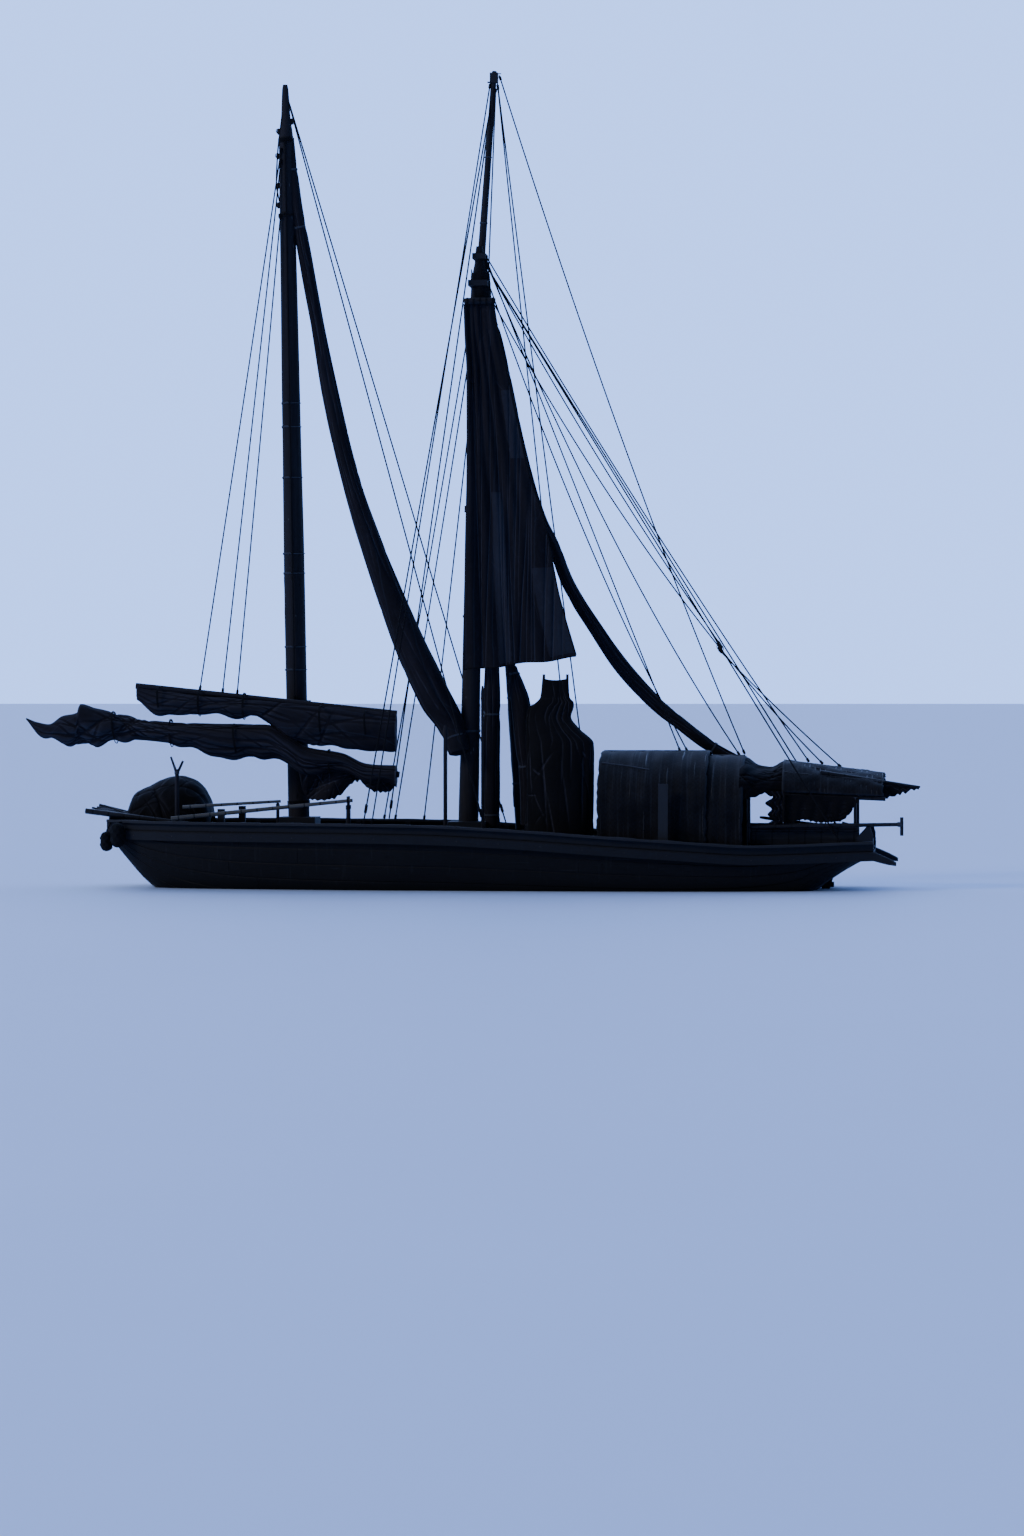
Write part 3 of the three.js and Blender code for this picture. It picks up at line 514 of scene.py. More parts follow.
def oiled_spar(axis):
    """Whole fir trunk, peeled and oiled: long grain, drying checks and a worn paler face."""
    return layered(f"oiled_fir_{axis}", colours().spar, 0.72, [
        coat("noise", grain(axis, 10, 600), (0.32, 0.72), "#2c2a2e", 0.7, height=0.6, detail=5.0),
        coat("noise", grain(axis, 120, 1500), (0.45, 0.65), "#333136", 0.55, rough=0.12),
        coat("noise", grain(axis, 6, 900), (0.66, 0.72), "#050608", 0.9, height=-1.2),
        coat("noise", grain(axis, 45, 160), (0.70, 0.74), "#6a6c72", 0.5),
        coat("cells", grain(axis, 130, 420), (0.14, 0.03), "#060709", 0.7),
        coat("edge", None, (0.51, 0.60), "#34363d", 0.35),
    ], specular=0.14)


def peeled_pole(name, colour, worn, ring):
    """Bamboo and light poles, silvered outdoors: a smooth skin with dark rings at the nodes."""
    return layered(name, colour, 0.5, [
        coat("noise", (500, 14, 14), (0.35, 0.70), ring, 0.6, height=0.15),
        coat("noise", (900, 60, 60), (0.45, 0.65), worn, 0.45),
        coat("wave", 310, (0.96, 1.0), "#08080a", 0.8, height=0.9),
    ], source="UV", specular=0.2)


def dyed_sailcloth(name, colour, fade):
    """Hand-woven cotton dyed dark and stiff with size: matt, with faded folds, a painted highlight on the
    fold ridges and the seams of 450 mm loom widths. The 1 mm weave is drawn at 7 mm so that it shows."""
    return layered(name, colour, 0.9, [
        coat("noise", (1400, 320, 320), (0.40, 0.70), fade, 0.6),
        coat("noise", (90, 60, 60), (0.50, 0.72), fade, 0.35, height=0.5),
        coat("noise", (1900, 50, 50), (0.58, 0.72), fade, 0.5),
        coat("wave", 450, (0.985, 1.0), "#2c2f38", 0.6, height=1.2, turn=math.pi / 2),
        coat("weave", 7, (0.0, 1.0), height=0.2),
        # Paler convex fold ridges: a painted highlight
        coat("edge", None, (0.503, 0.545), "#4c4d57", 0.65),
    ], source="UV", sheen=0.03, specular=0.08)


def worn_canvas(name, ridge, shine):
    """Old tarpaulin, nearly black with tar and smoke: cracked where it was folded, with a painted highlight
    along its ridges."""
    return layered(name, colours().canvas, 0.8, [
        coat("noise", 420, (0.40, 0.68), "#161518", 0.6),
        coat("noise", 30, (0.52, 0.72), "#09090a", 0.5, height=0.6),
        coat("cells", 160, (0.06, 0.0), "#212024", 0.5, height=0.5),
        # Paler convex fold ridges in the colour ridge: a painted highlight
        coat("edge", None, (0.503, 0.545), ridge, 0.65, rough=-0.05),
    ], source="UV", sheen=0.2 * shine, specular=shine)


def bamboo_mat():
    """Split bamboo woven in strips and smoked dark: each 30 mm strip rises over the next, some strips
    are paler, and the rain has washed streaks down it."""
    return layered("split_bamboo_mat", colours().mat, 0.75, [
        coat("weave", 30, (0.0, 1.0), "#1d1d21", 0.5, height=1.6),
        coat("noise", (4, 60, 60), (0.40, 0.70), "#26272c", 0.5, height=0.4),
        coat("noise", (45, 1500, 1500), (0.54, 0.70), "#3a3c43", 0.5),
        coat("noise", (380, 260, 260), (0.45, 0.70), "#0c0c0e", 0.65),
        coat("edge", None, (0.51, 0.58), "#393c44", 0.4),
    ], source="UV", specular=0.12)


def hemp_rope(name, colour, pale):
    """Three-strand hemp, tarred or dry: the lay of the strands runs slantwise every 14 mm."""
    return layered(name, colour, 0.9, [
        coat("wave", 14, (0.2, 0.9), pale, 0.3, height=0.7, turn=0.8),
        coat("noise", (300, 20, 20), (0.45, 0.65), pale, 0.3),
    ], source="UV", specular=0.15)


def forged_iron():
    """Hand-forged nails and bands under tar: dark, with a dull rust bloom."""
    return layered("forged_iron", linear("#121112"), 0.6, [
        coat("noise", 12, (0.45, 0.65), "#211815", 0.6, height=0.3),
    ])


def studio_floor():
    """Painted studio floor: plain and pale, with a very faint unevenness."""
    return layered("painted_studio_floor", colours().floor, 0.6, [
        coat("noise", 2600, (0.3, 0.7), "#c8d4ea", 0.4, rough=0.05),
    ], specular=0.3)


FINISHES = {
    "tar_x": lambda: tarred_wood("x"),
    "tar_y": lambda: tarred_wood("y"),
    "tar_z": lambda: tarred_wood("z"),
    "boards_x": lambda: weathered_boards("x"),
    "boards_z": lambda: weathered_boards("z"),
    "spar_x": lambda: oiled_spar("x"),
    "spar_z": lambda: oiled_spar("z"),
    "pole": lambda: peeled_pole("tarred_bamboo", colours().pole, "#34343a", "#141416"),
    "pale_pole": lambda: peeled_pole("peeled_bamboo", colours().pale_pole, "#716f69", "#333331"),
    "cloth": lambda: dyed_sailcloth("dyed_sailcloth", colours().cloth, "#2a282e"),
    "patch": lambda: dyed_sailcloth("patch_cloth", colours().patch, "#35373f"),
    # The second colour of each tarpaulin is the painted highlight on its fold ridges
    "canvas": lambda: worn_canvas("worn_tarpaulin", "#45444c", 0.10),
    # Shaded copy of the tarpaulin for the awning: same base colour, a dimmer painted ridge highlight and less
    # shine, as painted shade
    "shaded_canvas": lambda: worn_canvas("shaded_tarpaulin", "#1a191d", 0.05),
    "mat": bamboo_mat,
    "rope": lambda: hemp_rope("tarred_hemp", colours().rope, "#202024"),
    "twine": lambda: hemp_rope("dry_hemp_twine", colours().twine, "#585c66"),
    "iron": forged_iron,
    "floor": studio_floor,
}
made_finishes = {}


def finish_named(name):
    """The material of a finish, made once."""
    if name not in made_finishes:
        made_finishes[name] = FINISHES[name]()
    return made_finishes[name]


def dress(node, finish, bevel=0.005):
    """Keeps a CAD node, eases its edges and gives it a material."""
    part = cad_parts[node]
    part.data.materials.clear()
    part.data.materials.append(finish_named(finish))
    ease = part.modifiers.new("Eased edges", "BEVEL")
    ease.width = bevel
    ease.segments = 2
    ease.limit_method = "ANGLE"
    ease.angle_limit = math.radians(35)


class JunkOperator:
    """What the operators share."""
    bl_options = {"REGISTER", "UNDO"}

    def execute(self, context):
        self.build()
        return {"FINISHED"}


# Stage
CAMERA_AZIMUTH = math.radians(6.0)
CAMERA_HEIGHT = 2.28
CAMERA_DISTANCE = 52.0
CAMERA_LENS = 100.0
VIEW_CENTRE = (0.232, 0.0, 1.451)
FLOOR_REACH = 2500.0
# The sky glows low behind the boat and is dim overhead and on the camera's side
SKY_GLOW = (0.0, 0.96, 0.28)
GLOW_FULL = 0.85
SKY_BRIGHT = "#86abfa"
SKY_DIM = "#262d3c"
SKY_STRENGTH = 3.0
# Soft lights: name, direction it comes from, strength, spread in degrees, colour
SUNS = (
    ("back_light", (-0.35, 0.85, 0.75), 0.5, 50, "#dde6ff"),
    ("side_fill", (-0.80, -0.50, 0.55), 1.15, 18, "#eef1ff"),
)


def put_in_scene(name, data, track=None):
    """An object in the scene, turned so that its named axis points a way where one is given."""
    made = bpy.data.objects.new(name, data)
    bpy.context.scene.collection.objects.link(made)
    if track:
        direction, axis = track
        made.rotation_mode = "QUATERNION"
        made.rotation_quaternion = Vector(direction).to_track_quat(axis, "Y")
    return made


class JUNK_OT_stage(JunkOperator, bpy.types.Operator):
    """Sets up the camera, the pale floor at the waterline and the soft light"""
    bl_idname = "junk.stage"
    bl_label = "Stage"

    def build(self):
        lens = bpy.data.cameras.new("junk_camera")
        lens.lens = CAMERA_LENS
        lens.clip_end = 2 * FLOOR_REACH
        target = Vector(VIEW_CENTRE)
        place = Vector((target.x + CAMERA_DISTANCE * math.sin(CAMERA_AZIMUTH),
                        target.y - CAMERA_DISTANCE * math.cos(CAMERA_AZIMUTH), CAMERA_HEIGHT))
        camera = put_in_scene("junk_camera", lens, (target - place, "-Z"))
        camera.location = place
        bpy.context.scene.camera = camera
        floor = bpy.data.meshes.new("studio_floor")
        corners = ((-1, -1), (1, -1), (1, 1), (-1, 1))
        floor.from_pydata([(x * FLOOR_REACH, y * FLOOR_REACH, 0) for x, y in corners], [], [(0, 1, 2, 3)])
        floor.materials.append(finish_named("floor"))
        put_in_scene("studio_floor", floor)
        self.sky()
        for name, source, strength, spread, tint in SUNS:
            light = bpy.data.lights.new(name, "SUN")
            light.energy = strength
            light.angle = math.radians(spread)
            light.color = linear(tint)[:3]
            put_in_scene(name, light, (source, "Z"))

    def sky(self):
        world = bpy.data.worlds.new("soft_studio")
        bpy.context.scene.world = world
        world.use_nodes = True
        tree = world.node_tree
        ahead = add_node(tree, "ShaderNodeTexCoord").outputs["Generated"]
        glow = add_node(tree, "ShaderNodeVectorMath", {"operation": "DOT_PRODUCT", 1: SKY_GLOW}, {0: ahead})
        share = add_node(tree, "ShaderNodeMapRange", {"From Min": 0.0, "From Max": GLOW_FULL},
                         {0: glow.outputs["Value"]})
        mix = add_node(tree, "ShaderNodeMix", {"data_type": "RGBA", 6: linear(SKY_DIM),
                                               7: linear(SKY_BRIGHT)}, {0: share.outputs[0]})
        background = tree.nodes["Background"]
        background.inputs["Strength"].default_value = SKY_STRENGTH
        tree.links.new(mix.outputs[2], background.inputs["Color"])


# Hull
STRAKES = 8
ROW_STEP = 0.09
BUTTS_A_STRAKE = 3
BUTT_RANGE = (-3.4, 4.0)
BUTT_HALF = 0.006
CROSS_PLANKS_END = -3.55
BOTTOM_COLUMNS = 5
KEEL_ENDS = (-3.6, 3.7)
KEEL_HALF = 0.08
KEEL_DEPTH = 0.06


def hull_point(x, t):
    """Half breadth and height on the hull's side at stations x. t is 0 at the chine and 1 at the deck."""
    sheer, half_deck, half_floor, floor = upright(STATIONS, x)
    top = sheer - DECK_DROP - DECK_THICKNESS
    angle = np.asarray(t) * math.pi / 2
    y = half_floor + (half_deck - half_floor) * np.sin(angle) ** 0.85
    z = floor + (top - floor) * (1 - np.cos(angle)) ** 1.1
    return y, z


def strake_columns():
    """Columns up the hull's side by equal girth amidships: level, whether it lies in a seam, strake."""
    t = np.linspace(0, 1, 200)
    y, z = hull_point(np.array([0.0]), t)
    run = distance(np.column_stack([y[0], z[0]]))
    levels = np.interp(np.linspace(0, run[-1], STRAKES + 1), run, t)
    lip = 0.05 * (levels[1] - levels[0])
    columns = []
    for k, (low, high) in enumerate(zip(levels, levels[1:])):
        plank = [low + lip, *np.linspace(low + 2 * lip, high - 2 * lip, 4), high - lip]
        columns += [(low, 1.0, k)] + [(level, 0.0, k) for level in plank]
    return zip(*columns, (1.0, 0.0, STRAKES - 1))


class JUNK_OT_hull(JunkOperator, bpy.types.Operator):
    """Planks the hull: strakes with seams and butts, and a cross-planked bow"""
    bl_idname = "junk.hull"
    bl_label = "Hull planking"

    def build(self):
        draw = random.Random(11)
        t, in_seam, strake = (np.array(column) for column in strake_columns())
        butts = [(k, round(draw.uniform(*BUTT_RANGE), 4)) for k in range(STRAKES)
                 for _ in range(BUTTS_A_STRAKE)]
        rows = set(np.round(np.arange(BOW_X, STERN_X, ROW_STEP), 4)) | {BOW_X, STERN_X, TRUNK_START}
        for _, x in butts:
            rows |= {round(x - BUTT_HALF, 4), x, round(x + BUTT_HALF, 4)}
        x = np.array(sorted(rows))
        side = self.side(draw, x, t, in_seam, strake, butts)
        bottom = self.bottom(x)
        flip = np.array([1.0, -1.0, 1.0])
        girder = np.concatenate([side[:, ::-1], bottom[:, ::-1], bottom * flip, side * flip], axis=1)
        keel_column = len(t) + BOTTOM_COLUMNS - 1
        body = Shape()
        body.loft(girder, around=False, hole=lambda i, j: j == keel_column and x[i] >= TRUNK_START - 1e-6)
        count = girder.shape[1]
        for ring, turn in ((girder[0], -1), (girder[-1], 1)):
            faces = [(*(j, (j + 1) % count)[::turn], count) for j in range(count)]
            points = np.concatenate([ring, ring.mean(axis=0)[None]])
            body.add(points, faces, [(0.0, 0.0)] * 3 * count, [0] * count)
        aft = x[x >= TRUNK_START - 1e-6]
        floor = follow(STATIONS, aft)[:, 3]
        deck = rail_line(aft)[0] - DECK_DROP
        for side_y in (-TRUNK_HALF, TRUNK_HALF):
            body.sheet(aft[:, None], side_y, np.stack([floor, (floor + deck) / 2, deck], axis=1))
        body.piece("hull_planking", "tarred_wood", ["tar_x"], ["hull_body"], angle=30)
        line = np.linspace(*KEEL_ENDS, 50)
        floor = follow(STATIONS, line)[:, 3]
        keel = Shape().board(line, -KEEL_HALF, KEEL_HALF, floor - KEEL_DEPTH, floor - 0.0003, edge=0.006)
        keel.piece("keel", "tarred_wood", ["tar_x"], ["keel_plank"])

    def side(self, draw, x, t, in_seam, strake, butts):
        """Points of one side, sunk at seams and butts. Each strake stands a little in or out."""
        seam = sizes().seam_depth
        y, z = hull_point(x, t)
        groove = np.zeros_like(y) + in_seam * seam
        for k, place in butts:
            mine = (strake == k) & (in_seam == 0)
            groove += np.outer(np.abs(x - place) < 0.001, mine) * seam * 0.8
        stand = np.array([draw.uniform(-0.002, 0.003) for _ in range(STRAKES)])
        groove -= stand[strake] * (in_seam == 0)
        groove += 0.0015 * ripple(x[:, None] * 2.0, t[None] * 9.0, 5)
        dy = np.gradient(y, axis=1)
        dz = np.gradient(z, axis=1)
        length = np.hypot(dy, dz)
        return grid(x[:, None], y - groove * dz / length, z + groove * dy / length)

    def bottom(self, x):
        """Points of half the flat bottom, with seams across it under the bow."""
        _, _, half_floor, floor = upright(STATIONS, x)
        cross = (x < CROSS_PLANKS_END) & (np.arange(len(x)) % 2 == 0)
        share = np.linspace(0.0, 1.0, BOTTOM_COLUMNS + 1)[:-1]
        width = TRUNK_HALF + share * (half_floor - TRUNK_HALF)
        return grid(x[:, None], width, floor + np.where(cross, sizes().seam_depth, 0.0)[:, None])


# Deck
DECK_REACH = 1.19
BOARD_GAP = 0.003
BOARD_LENGTHS = (1.5, 2.8)
NARROWEST_BOARD = 0.02
NAIL_INSET = 0.03


class JUNK_OT_deck(JunkOperator, bpy.types.Operator):
    """Lays the deck boards with butts and nail heads"""
    bl_idname = "junk.deck"
    bl_label = "Deck boards"

    def build(self):
        draw = random.Random(23)
        edges = [-TRUNK_HALF, TRUNK_HALF]
        while edges[-1] < DECK_REACH:
            edges.append(edges[-1] + sizes().deck_board)
        lanes = list(zip(edges, edges[1:]))
        lanes += [(-b, -a) for a, b in lanes[1:]]
        deck = Shape()
        for lane, (inner_y, outer_y) in enumerate(lanes):
            cuts = [BOW_X + 0.004]
            while cuts[-1] < STERN_X - 1.4:
                cuts.append(min(cuts[-1] + draw.uniform(*BOARD_LENGTHS), STERN_X - 0.3))
            cuts.append(STERN_X - 0.004)
            if lane == 0:
                cuts = [c for c in cuts if c < TRUNK_START - 0.4] + [TRUNK_START - 0.002]
            for a, b in zip(cuts, cuts[1:]):
                x = np.linspace(a + BOARD_GAP, b - BOARD_GAP, max(3, int((b - a) / 0.16)))
                sheer, half = rail_line(x)
                inner = half - BULWARK_THICKNESS - BOARD_GAP
                low = np.clip(inner_y + BOARD_GAP, -inner, inner)
                high = np.clip(outer_y - BOARD_GAP, -inner, inner)
                keep = high - low > NARROWEST_BOARD
                if keep.sum() >= 3:
                    top = sheer - DECK_DROP + draw.uniform(-0.0025, 0.0) + 0.0008 * ripple(x * 3, 0 * x, lane)
                    self.nailed_board(deck, *(row[keep] for row in (x, low, high, top)))
        deck.piece("deck_boards", "weathered_wood", ["boards_x", "iron"], ["deck"])

    def nailed_board(self, deck, x, low, high, top):
        """One board with two nails at each end."""
        deck.board(x, low, high, top - DECK_THICKNESS, top)
        for place in (x[0] + NAIL_INSET, x[-1] - NAIL_INSET):
            left, right, z = (np.interp(place, x, row) for row in (low, high, top))
            for share in (0.25, 0.75):
                y = left * (1 - share) + right * share
                deck.bar((place, y, z - 0.002), (place, y, z + 0.0015), 0.006, 0.004, sides=6, finish=1)


# Rails
RIB_PLACES = np.arange(-4.3, 4.5, 0.62)
WALE_NAILS = np.arange(-4.3, 4.5, 0.5)
RAIL_NAIL_STEP = 0.45
# Where the wale's wing runs on behind the stern, and how far it moves in and down by its end
WING_ROWS = (4.72, 4.80, 4.87, 4.91)
WING_IN = 0.020
WING_DOWN = (0.075, 0.110)
WALE_FACES = (-0.060, 0.048)
WALE_EDGES = (0.235, 0.125)


class JUNK_OT_rails(JunkOperator, bpy.types.Operator):
    """Adds bulwarks, caprails laid in lengths with butt joints, and the wales that end in wings at the stern
    """
    bl_idname = "junk.rails"
    bl_label = "Bulwarks, caprails and wales"

    def build(self):
        x = np.linspace(BOW_X, STERN_X, 90)
        for name, side in SIDES:
            self.bulwark(name, side, x)
            self.caprail(name, side)
            self.wale(name, side, x)

    def bulwark(self, name, side, x):
        sheer, half = rail_line(x)
        wall = Shape()
        wall.side_board(side, x, half - BULWARK_THICKNESS, half, sheer - DECK_DROP - DECK_THICKNESS,
                        sheer - CAPRAIL_HEIGHT)
        for rib in RIB_PLACES:
            top, breadth = rail_line(rib)
            inner = breadth - BULWARK_THICKNESS
            wall.side_board(side, [rib - 0.03, rib + 0.03], inner - 0.035, inner + 0.002, top - DECK_DROP,
                            top - CAPRAIL_HEIGHT - 0.001)
        wall.piece(f"bulwark_planks_{name}", "tarred_wood", ["tar_x"], [f"bulwark_{name}"])

    def caprail(self, name, side):
        draw = random.Random(31 + side)
        rail = Shape()
        cuts = [BOW_X, -2.6 + draw.uniform(-0.2, 0.2), -0.3, 2.1 + draw.uniform(-0.2, 0.2), STERN_X]
        for a, b in zip(cuts, cuts[1:]):
            x = np.linspace(a + 0.002, b - 0.002, 30)
            sheer, half = rail_line(x)
            wear = 0.0025 * ripple(x * 5, x * 0, 41 + side)
            rail.side_board(side, x, half - 0.070, half + 0.040 + wear - 0.003, sheer - CAPRAIL_HEIGHT,
                            sheer - 0.003 + wear, edge=0.010)
            for place in np.arange(a + 0.2, b - 0.1, RAIL_NAIL_STEP):
                top, breadth = rail_line(place)
                y = side * (breadth - 0.02)
                rail.bar((place, y, top - 0.008), (place, y, top - 0.001), 0.008, 0.006, sides=8, finish=1)
        rail.piece(f"caprail_timber_{name}", "weathered_wood", ["boards_x", "iron"], [f"caprail_{name}"])

    def wale(self, name, side, x):
        wale = Shape()
        x = np.concatenate([x, WING_ROWS])
        past = np.clip((x - STERN_X) / (WING_ROWS[-1] - STERN_X), 0, 1)
        sheer, half = rail_line(np.minimum(x, STERN_X))
        inner, outer = (half + face - WING_IN * past for face in WALE_FACES)
        bottom, top = (sheer - edge - down * past for edge, down in zip(WALE_EDGES, WING_DOWN))
        middle = (bottom + top) / 2
        tall = (top - bottom) / 2 * (1 - 0.45 * past ** 4)
        knocks = 0.002 * ripple(x * 6, x * 0, 51 + side)
        wale.side_board(side, x, inner, outer + knocks - 0.002, middle - tall, middle + tall, edge=0.016)
        for place in WALE_NAILS:
            top, breadth = rail_line(place)
            wale.bar((place, side * (breadth + 0.040), top - 0.18),
                     (place, side * (breadth + 0.0475), top - 0.18), 0.011, 0.007, sides=8, finish=1)
        wale.piece(f"wale_timber_{name}", "tarred_wood", ["tar_x", "iron"], [f"wale_{name}"])


# CAD nodes that keep their form, by the finish that each is given
FITTINGS = {
    "tar_x": ("stern_horn_port", "stern_horn_starboard", "fore_mast_partner", "main_mast_partner",
              "rudder_gudgeon"),
    "tar_y": ("bow_beam", "stern_beam", "topmast_band_lower", "topmast_band_upper", "rudder_beam",
              "fore_boom_parrel", "fore_yard_parrel", "main_parrel"),
    "tar_z": ("mooring_bitt_port", "mooring_bitt_starboard"),
    "boards_z": ("side_post",),
}


class JUNK_OT_fittings(JunkOperator, bpy.types.Operator):
    """Finishes the beams, horns, bitts, mast partners and bearings that keep their CAD form"""
    bl_idname = "junk.fittings"
    bl_label = "Beams and fittings"

    def build(self):
        for finish, nodes in FITTINGS.items():
            for node in nodes:
                dress(node, finish)


# Masts and spars
# Heights of the lashings: twine and rope round the foremast, then the main mast's and the topmast's
FORE_TIES = (2.65, 2.93, 3.83, 4.07, 5.00, 5.62, 5.91)
FORE_ROPES = (1.02, 9.12)
FORE_COLLAR = 8.20
MAIN_TIES = (1.9, 3.3, 4.6, 6.2)
TOP_TIES = (8.1, 8.9)
# Blocks at the foremast's head: height, and 1 where it hangs aft of the mast or -1 before it
FORE_BLOCKS = ((9.38, 1), (9.26, -1), (8.96, -1), (8.60, -1), (8.36, -1))
# The rope that hangs in a bight before the foremast's head; columns: height, x
HALYARD_BIGHT = np.array([[9.420, -2.590], [8.950, -2.645], [8.600, -2.660], [8.300, -2.605]])
BIGHT_Y = -0.04
# Rope wound round the main mast's head and the topmast's foot
# columns: height, middle x, half length, half width
MASTHEAD_WRAP = np.array([
    [7.165, -0.149, 0.122, 0.168], [7.300, -0.155, 0.118, 0.165], [7.470, -0.160, 0.112, 0.158],
    [7.495, -0.146, 0.074, 0.150], [7.600, -0.146, 0.064, 0.145], [7.640, -0.150, 0.058, 0.140]])
WRAP_Y = 0.055
MASTHEAD_PEG = ((-0.255, 0.05, 7.40), (-0.270, 0.04, 7.53))
# Height of the block at the topmast's head
TRUCK_HEIGHT = 9.86


def trunk(shape, mast, seed, sides=36):
    """A peeled trunk: slight swellings, knots and lengthwise checks, never thicker than the CAD mast."""
    z = np.append(np.arange(mast.foot[2], mast.head[2], 0.10), mast.head[2])
    u, v = z[:, None], full_turn(sides)[None]
    swell = 0.012 * ripple(u * 1.3, v, seed)
    checks = np.maximum(0, ripple(u * 0.35, v * 9, seed + 1, 4, 1.0, 1.4) - 1.1) * 0.03
    draw = random.Random(seed)
    knots = 0
    for _ in range(int(len(z) * 0.22)):
        high, turn = draw.uniform(z[0], z[-1]), draw.uniform(0, TAU)
        away = np.angle(np.exp(1j * (v - turn)))
        knots = knots + 0.035 * np.exp(-((u - high) / 0.05) ** 2 - (away / 0.3) ** 2)
    profile = follow(mast.girth, z) * np.minimum(1.0, 0.985 + swell - checks + knots - 0.01)
    profile[-1] *= 0.82
    shape.tube([along(mast, h) for h in z], profile, sides)


def lashings(shape, mast, heights, turns, rope, finish):
    """Turns of rope round a mast at given heights."""
    axis = np.array(mast.head) - np.array(mast.foot)
    for z in heights:
        shape.coil(along(mast, z), axis, girth(mast, z) + rope * 0.7, turns, rope, finish)


def pulley(shape, place, size):
    """A small wooden block hung in a rope strop."""
    x, y, z = place
    share = np.linspace(-1, 1, 9)
    shape.tube(grid(x, y, z + share * size), size * 0.62 * np.sqrt(np.maximum(0.03, 1 - share ** 2)))
    shape.coil(place, (0, 1, 0), size * 0.66, 1.1, 0.005, 1, stretch=1.45)


class JUNK_OT_masts(JunkOperator, bpy.types.Operator):
    """Makes the foremast, the main mast and the topmast from peeled trunks with lashings and blocks"""
    bl_idname = "junk.masts"
    bl_label = "Masts"

    def build(self):
        fore = Shape()
        trunk(fore, FOREMAST, 61)
        lashings(fore, FOREMAST, FORE_TIES, 1.6, 0.006, 2)
        lashings(fore, FOREMAST, FORE_ROPES, 4, 0.007, 1)
        lashings(fore, FOREMAST, [FORE_COLLAR], 1.6, 0.012, 1)
        for z, side in FORE_BLOCKS:
            x, y, _ = along(FOREMAST, z)
            pulley(fore, (x + side * (girth(FOREMAST, z) + 0.012), y, z - 0.03), 0.04)
        z = over(HALYARD_BIGHT, 30)
        fore.tube(grid(follow(HALYARD_BIGHT, z)[:, 0], BIGHT_Y, z), 0.009, 6, 1)
        fore.piece("foremast_trunk", "spar_wood", ["spar_z", "rope", "twine"], ["foremast"])
        main = Shape()
        trunk(main, MAIN_MAST, 71)
        lashings(main, MAIN_MAST, MAIN_TIES, 2, 0.007, 2)
        z = over(MASTHEAD_WRAP, 120)[:, None]
        middle, half, deep = upright(MASTHEAD_WRAP, z[:, 0])
        angle = full_turn(48)
        strands = 1 + 0.035 * np.abs(np.sin(z * 150 + angle)) + 0.02 * ripple(z * 9, angle * 2, 215)
        main.loft(grid(middle + half * strands * np.cos(angle), WRAP_Y + deep * strands * np.sin(angle), z),
                  finish=1)
        main.bar(*MASTHEAD_PEG, 0.016, 0.006, steps=4)
        main.piece("main_mast_trunk", "spar_wood", ["spar_z", "rope", "twine"], ["main_mast"])
        top = Shape()
        trunk(top, TOPMAST, 81, 24)
        lashings(top, TOPMAST, TOP_TIES, 2, 0.004, 2)
        x, y, z = along(TOPMAST, TRUCK_HEIGHT)
        top.board(np.linspace(x - 0.047, x + 0.050, 3), y - 0.045, y + 0.045, z - 0.055, z + 0.070, 0.010)
        top.bar((x - 0.080, y, z - 0.045), (x + 0.030, y, z - 0.045), 0.010, 0.008, steps=4)
        top.bar((x, y, z + 0.055), (x + 0.090, y, z + 0.058), 0.008, 0.006, steps=4)
        top.piece("topmast_pole", "spar_wood", ["spar_z", "rope", "twine"], ["topmast"])


# Rudder
RUDDER_FOOT = (3.846, 0, -0.680)
RUDDER_HEAD = (4.290, 0, 0.800)
STOCK_RADII = (0.0495, 0.042)
# The blade's four corners, x and z: stock at the top, trailing edge top and foot, stock at the foot
BLADE = np.array([[4.04, -0.04], [4.50, -0.09], [4.56, -0.62], [3.86, -0.68]])
BLADE_PLANKS = 4
BLADE_HALF = 0.024
TILLER = ((4.335, 0, 0.712), (3.250, 0, 0.860))


class JUNK_OT_rudder(JunkOperator, bpy.types.Operator):
    """Makes the rudder from a round stock and a planked blade, and the tiller"""
    bl_idname = "junk.rudder"
    bl_label = "Rudder and tiller"

    def build(self):
        radii = np.full(24, STOCK_RADII[0])
        radii[-1] = STOCK_RADII[1]
        wood = Shape().tube(straight(RUDDER_FOOT, RUDDER_HEAD, 24), radii, 24)
        left = straight(BLADE[0], BLADE[3], 8)
        right = straight(BLADE[1], BLADE[2], 8)
        eased = BLADE_HALF - 0.006
        for k in range(BLADE_PLANKS):
            a, b = k / BLADE_PLANKS, (k + 1) / BLADE_PLANKS - 0.015
            fore = left * (1 - a) + right * a
            aft = left * (1 - b) + right * b
            inset = (aft - fore) * 0.04
            ring = [(fore, -eased), (fore + inset, -BLADE_HALF), (aft - inset, -BLADE_HALF), (aft, -eased)]
            ring += [(place, -y) for place, y in ring[::-1]]
            wood.loft(np.stack([grid(place[:, 0], y, place[:, 1]) for place, y in ring], axis=1))
        wood.piece("rudder_wood", "tarred_wood", ["tar_z"], ["rudder"], body=RUDDER)
        grip = np.linspace(0.0295, 0.0195, 20)
        grip[-3:] = (0.019, 0.0195, 0.014)
        helm = Shape().tube(straight(*TILLER, 20), grip, 14)
        helm.piece("tiller_pole", "pole_wood", ["pole"], ["tiller"], body=RUDDER)


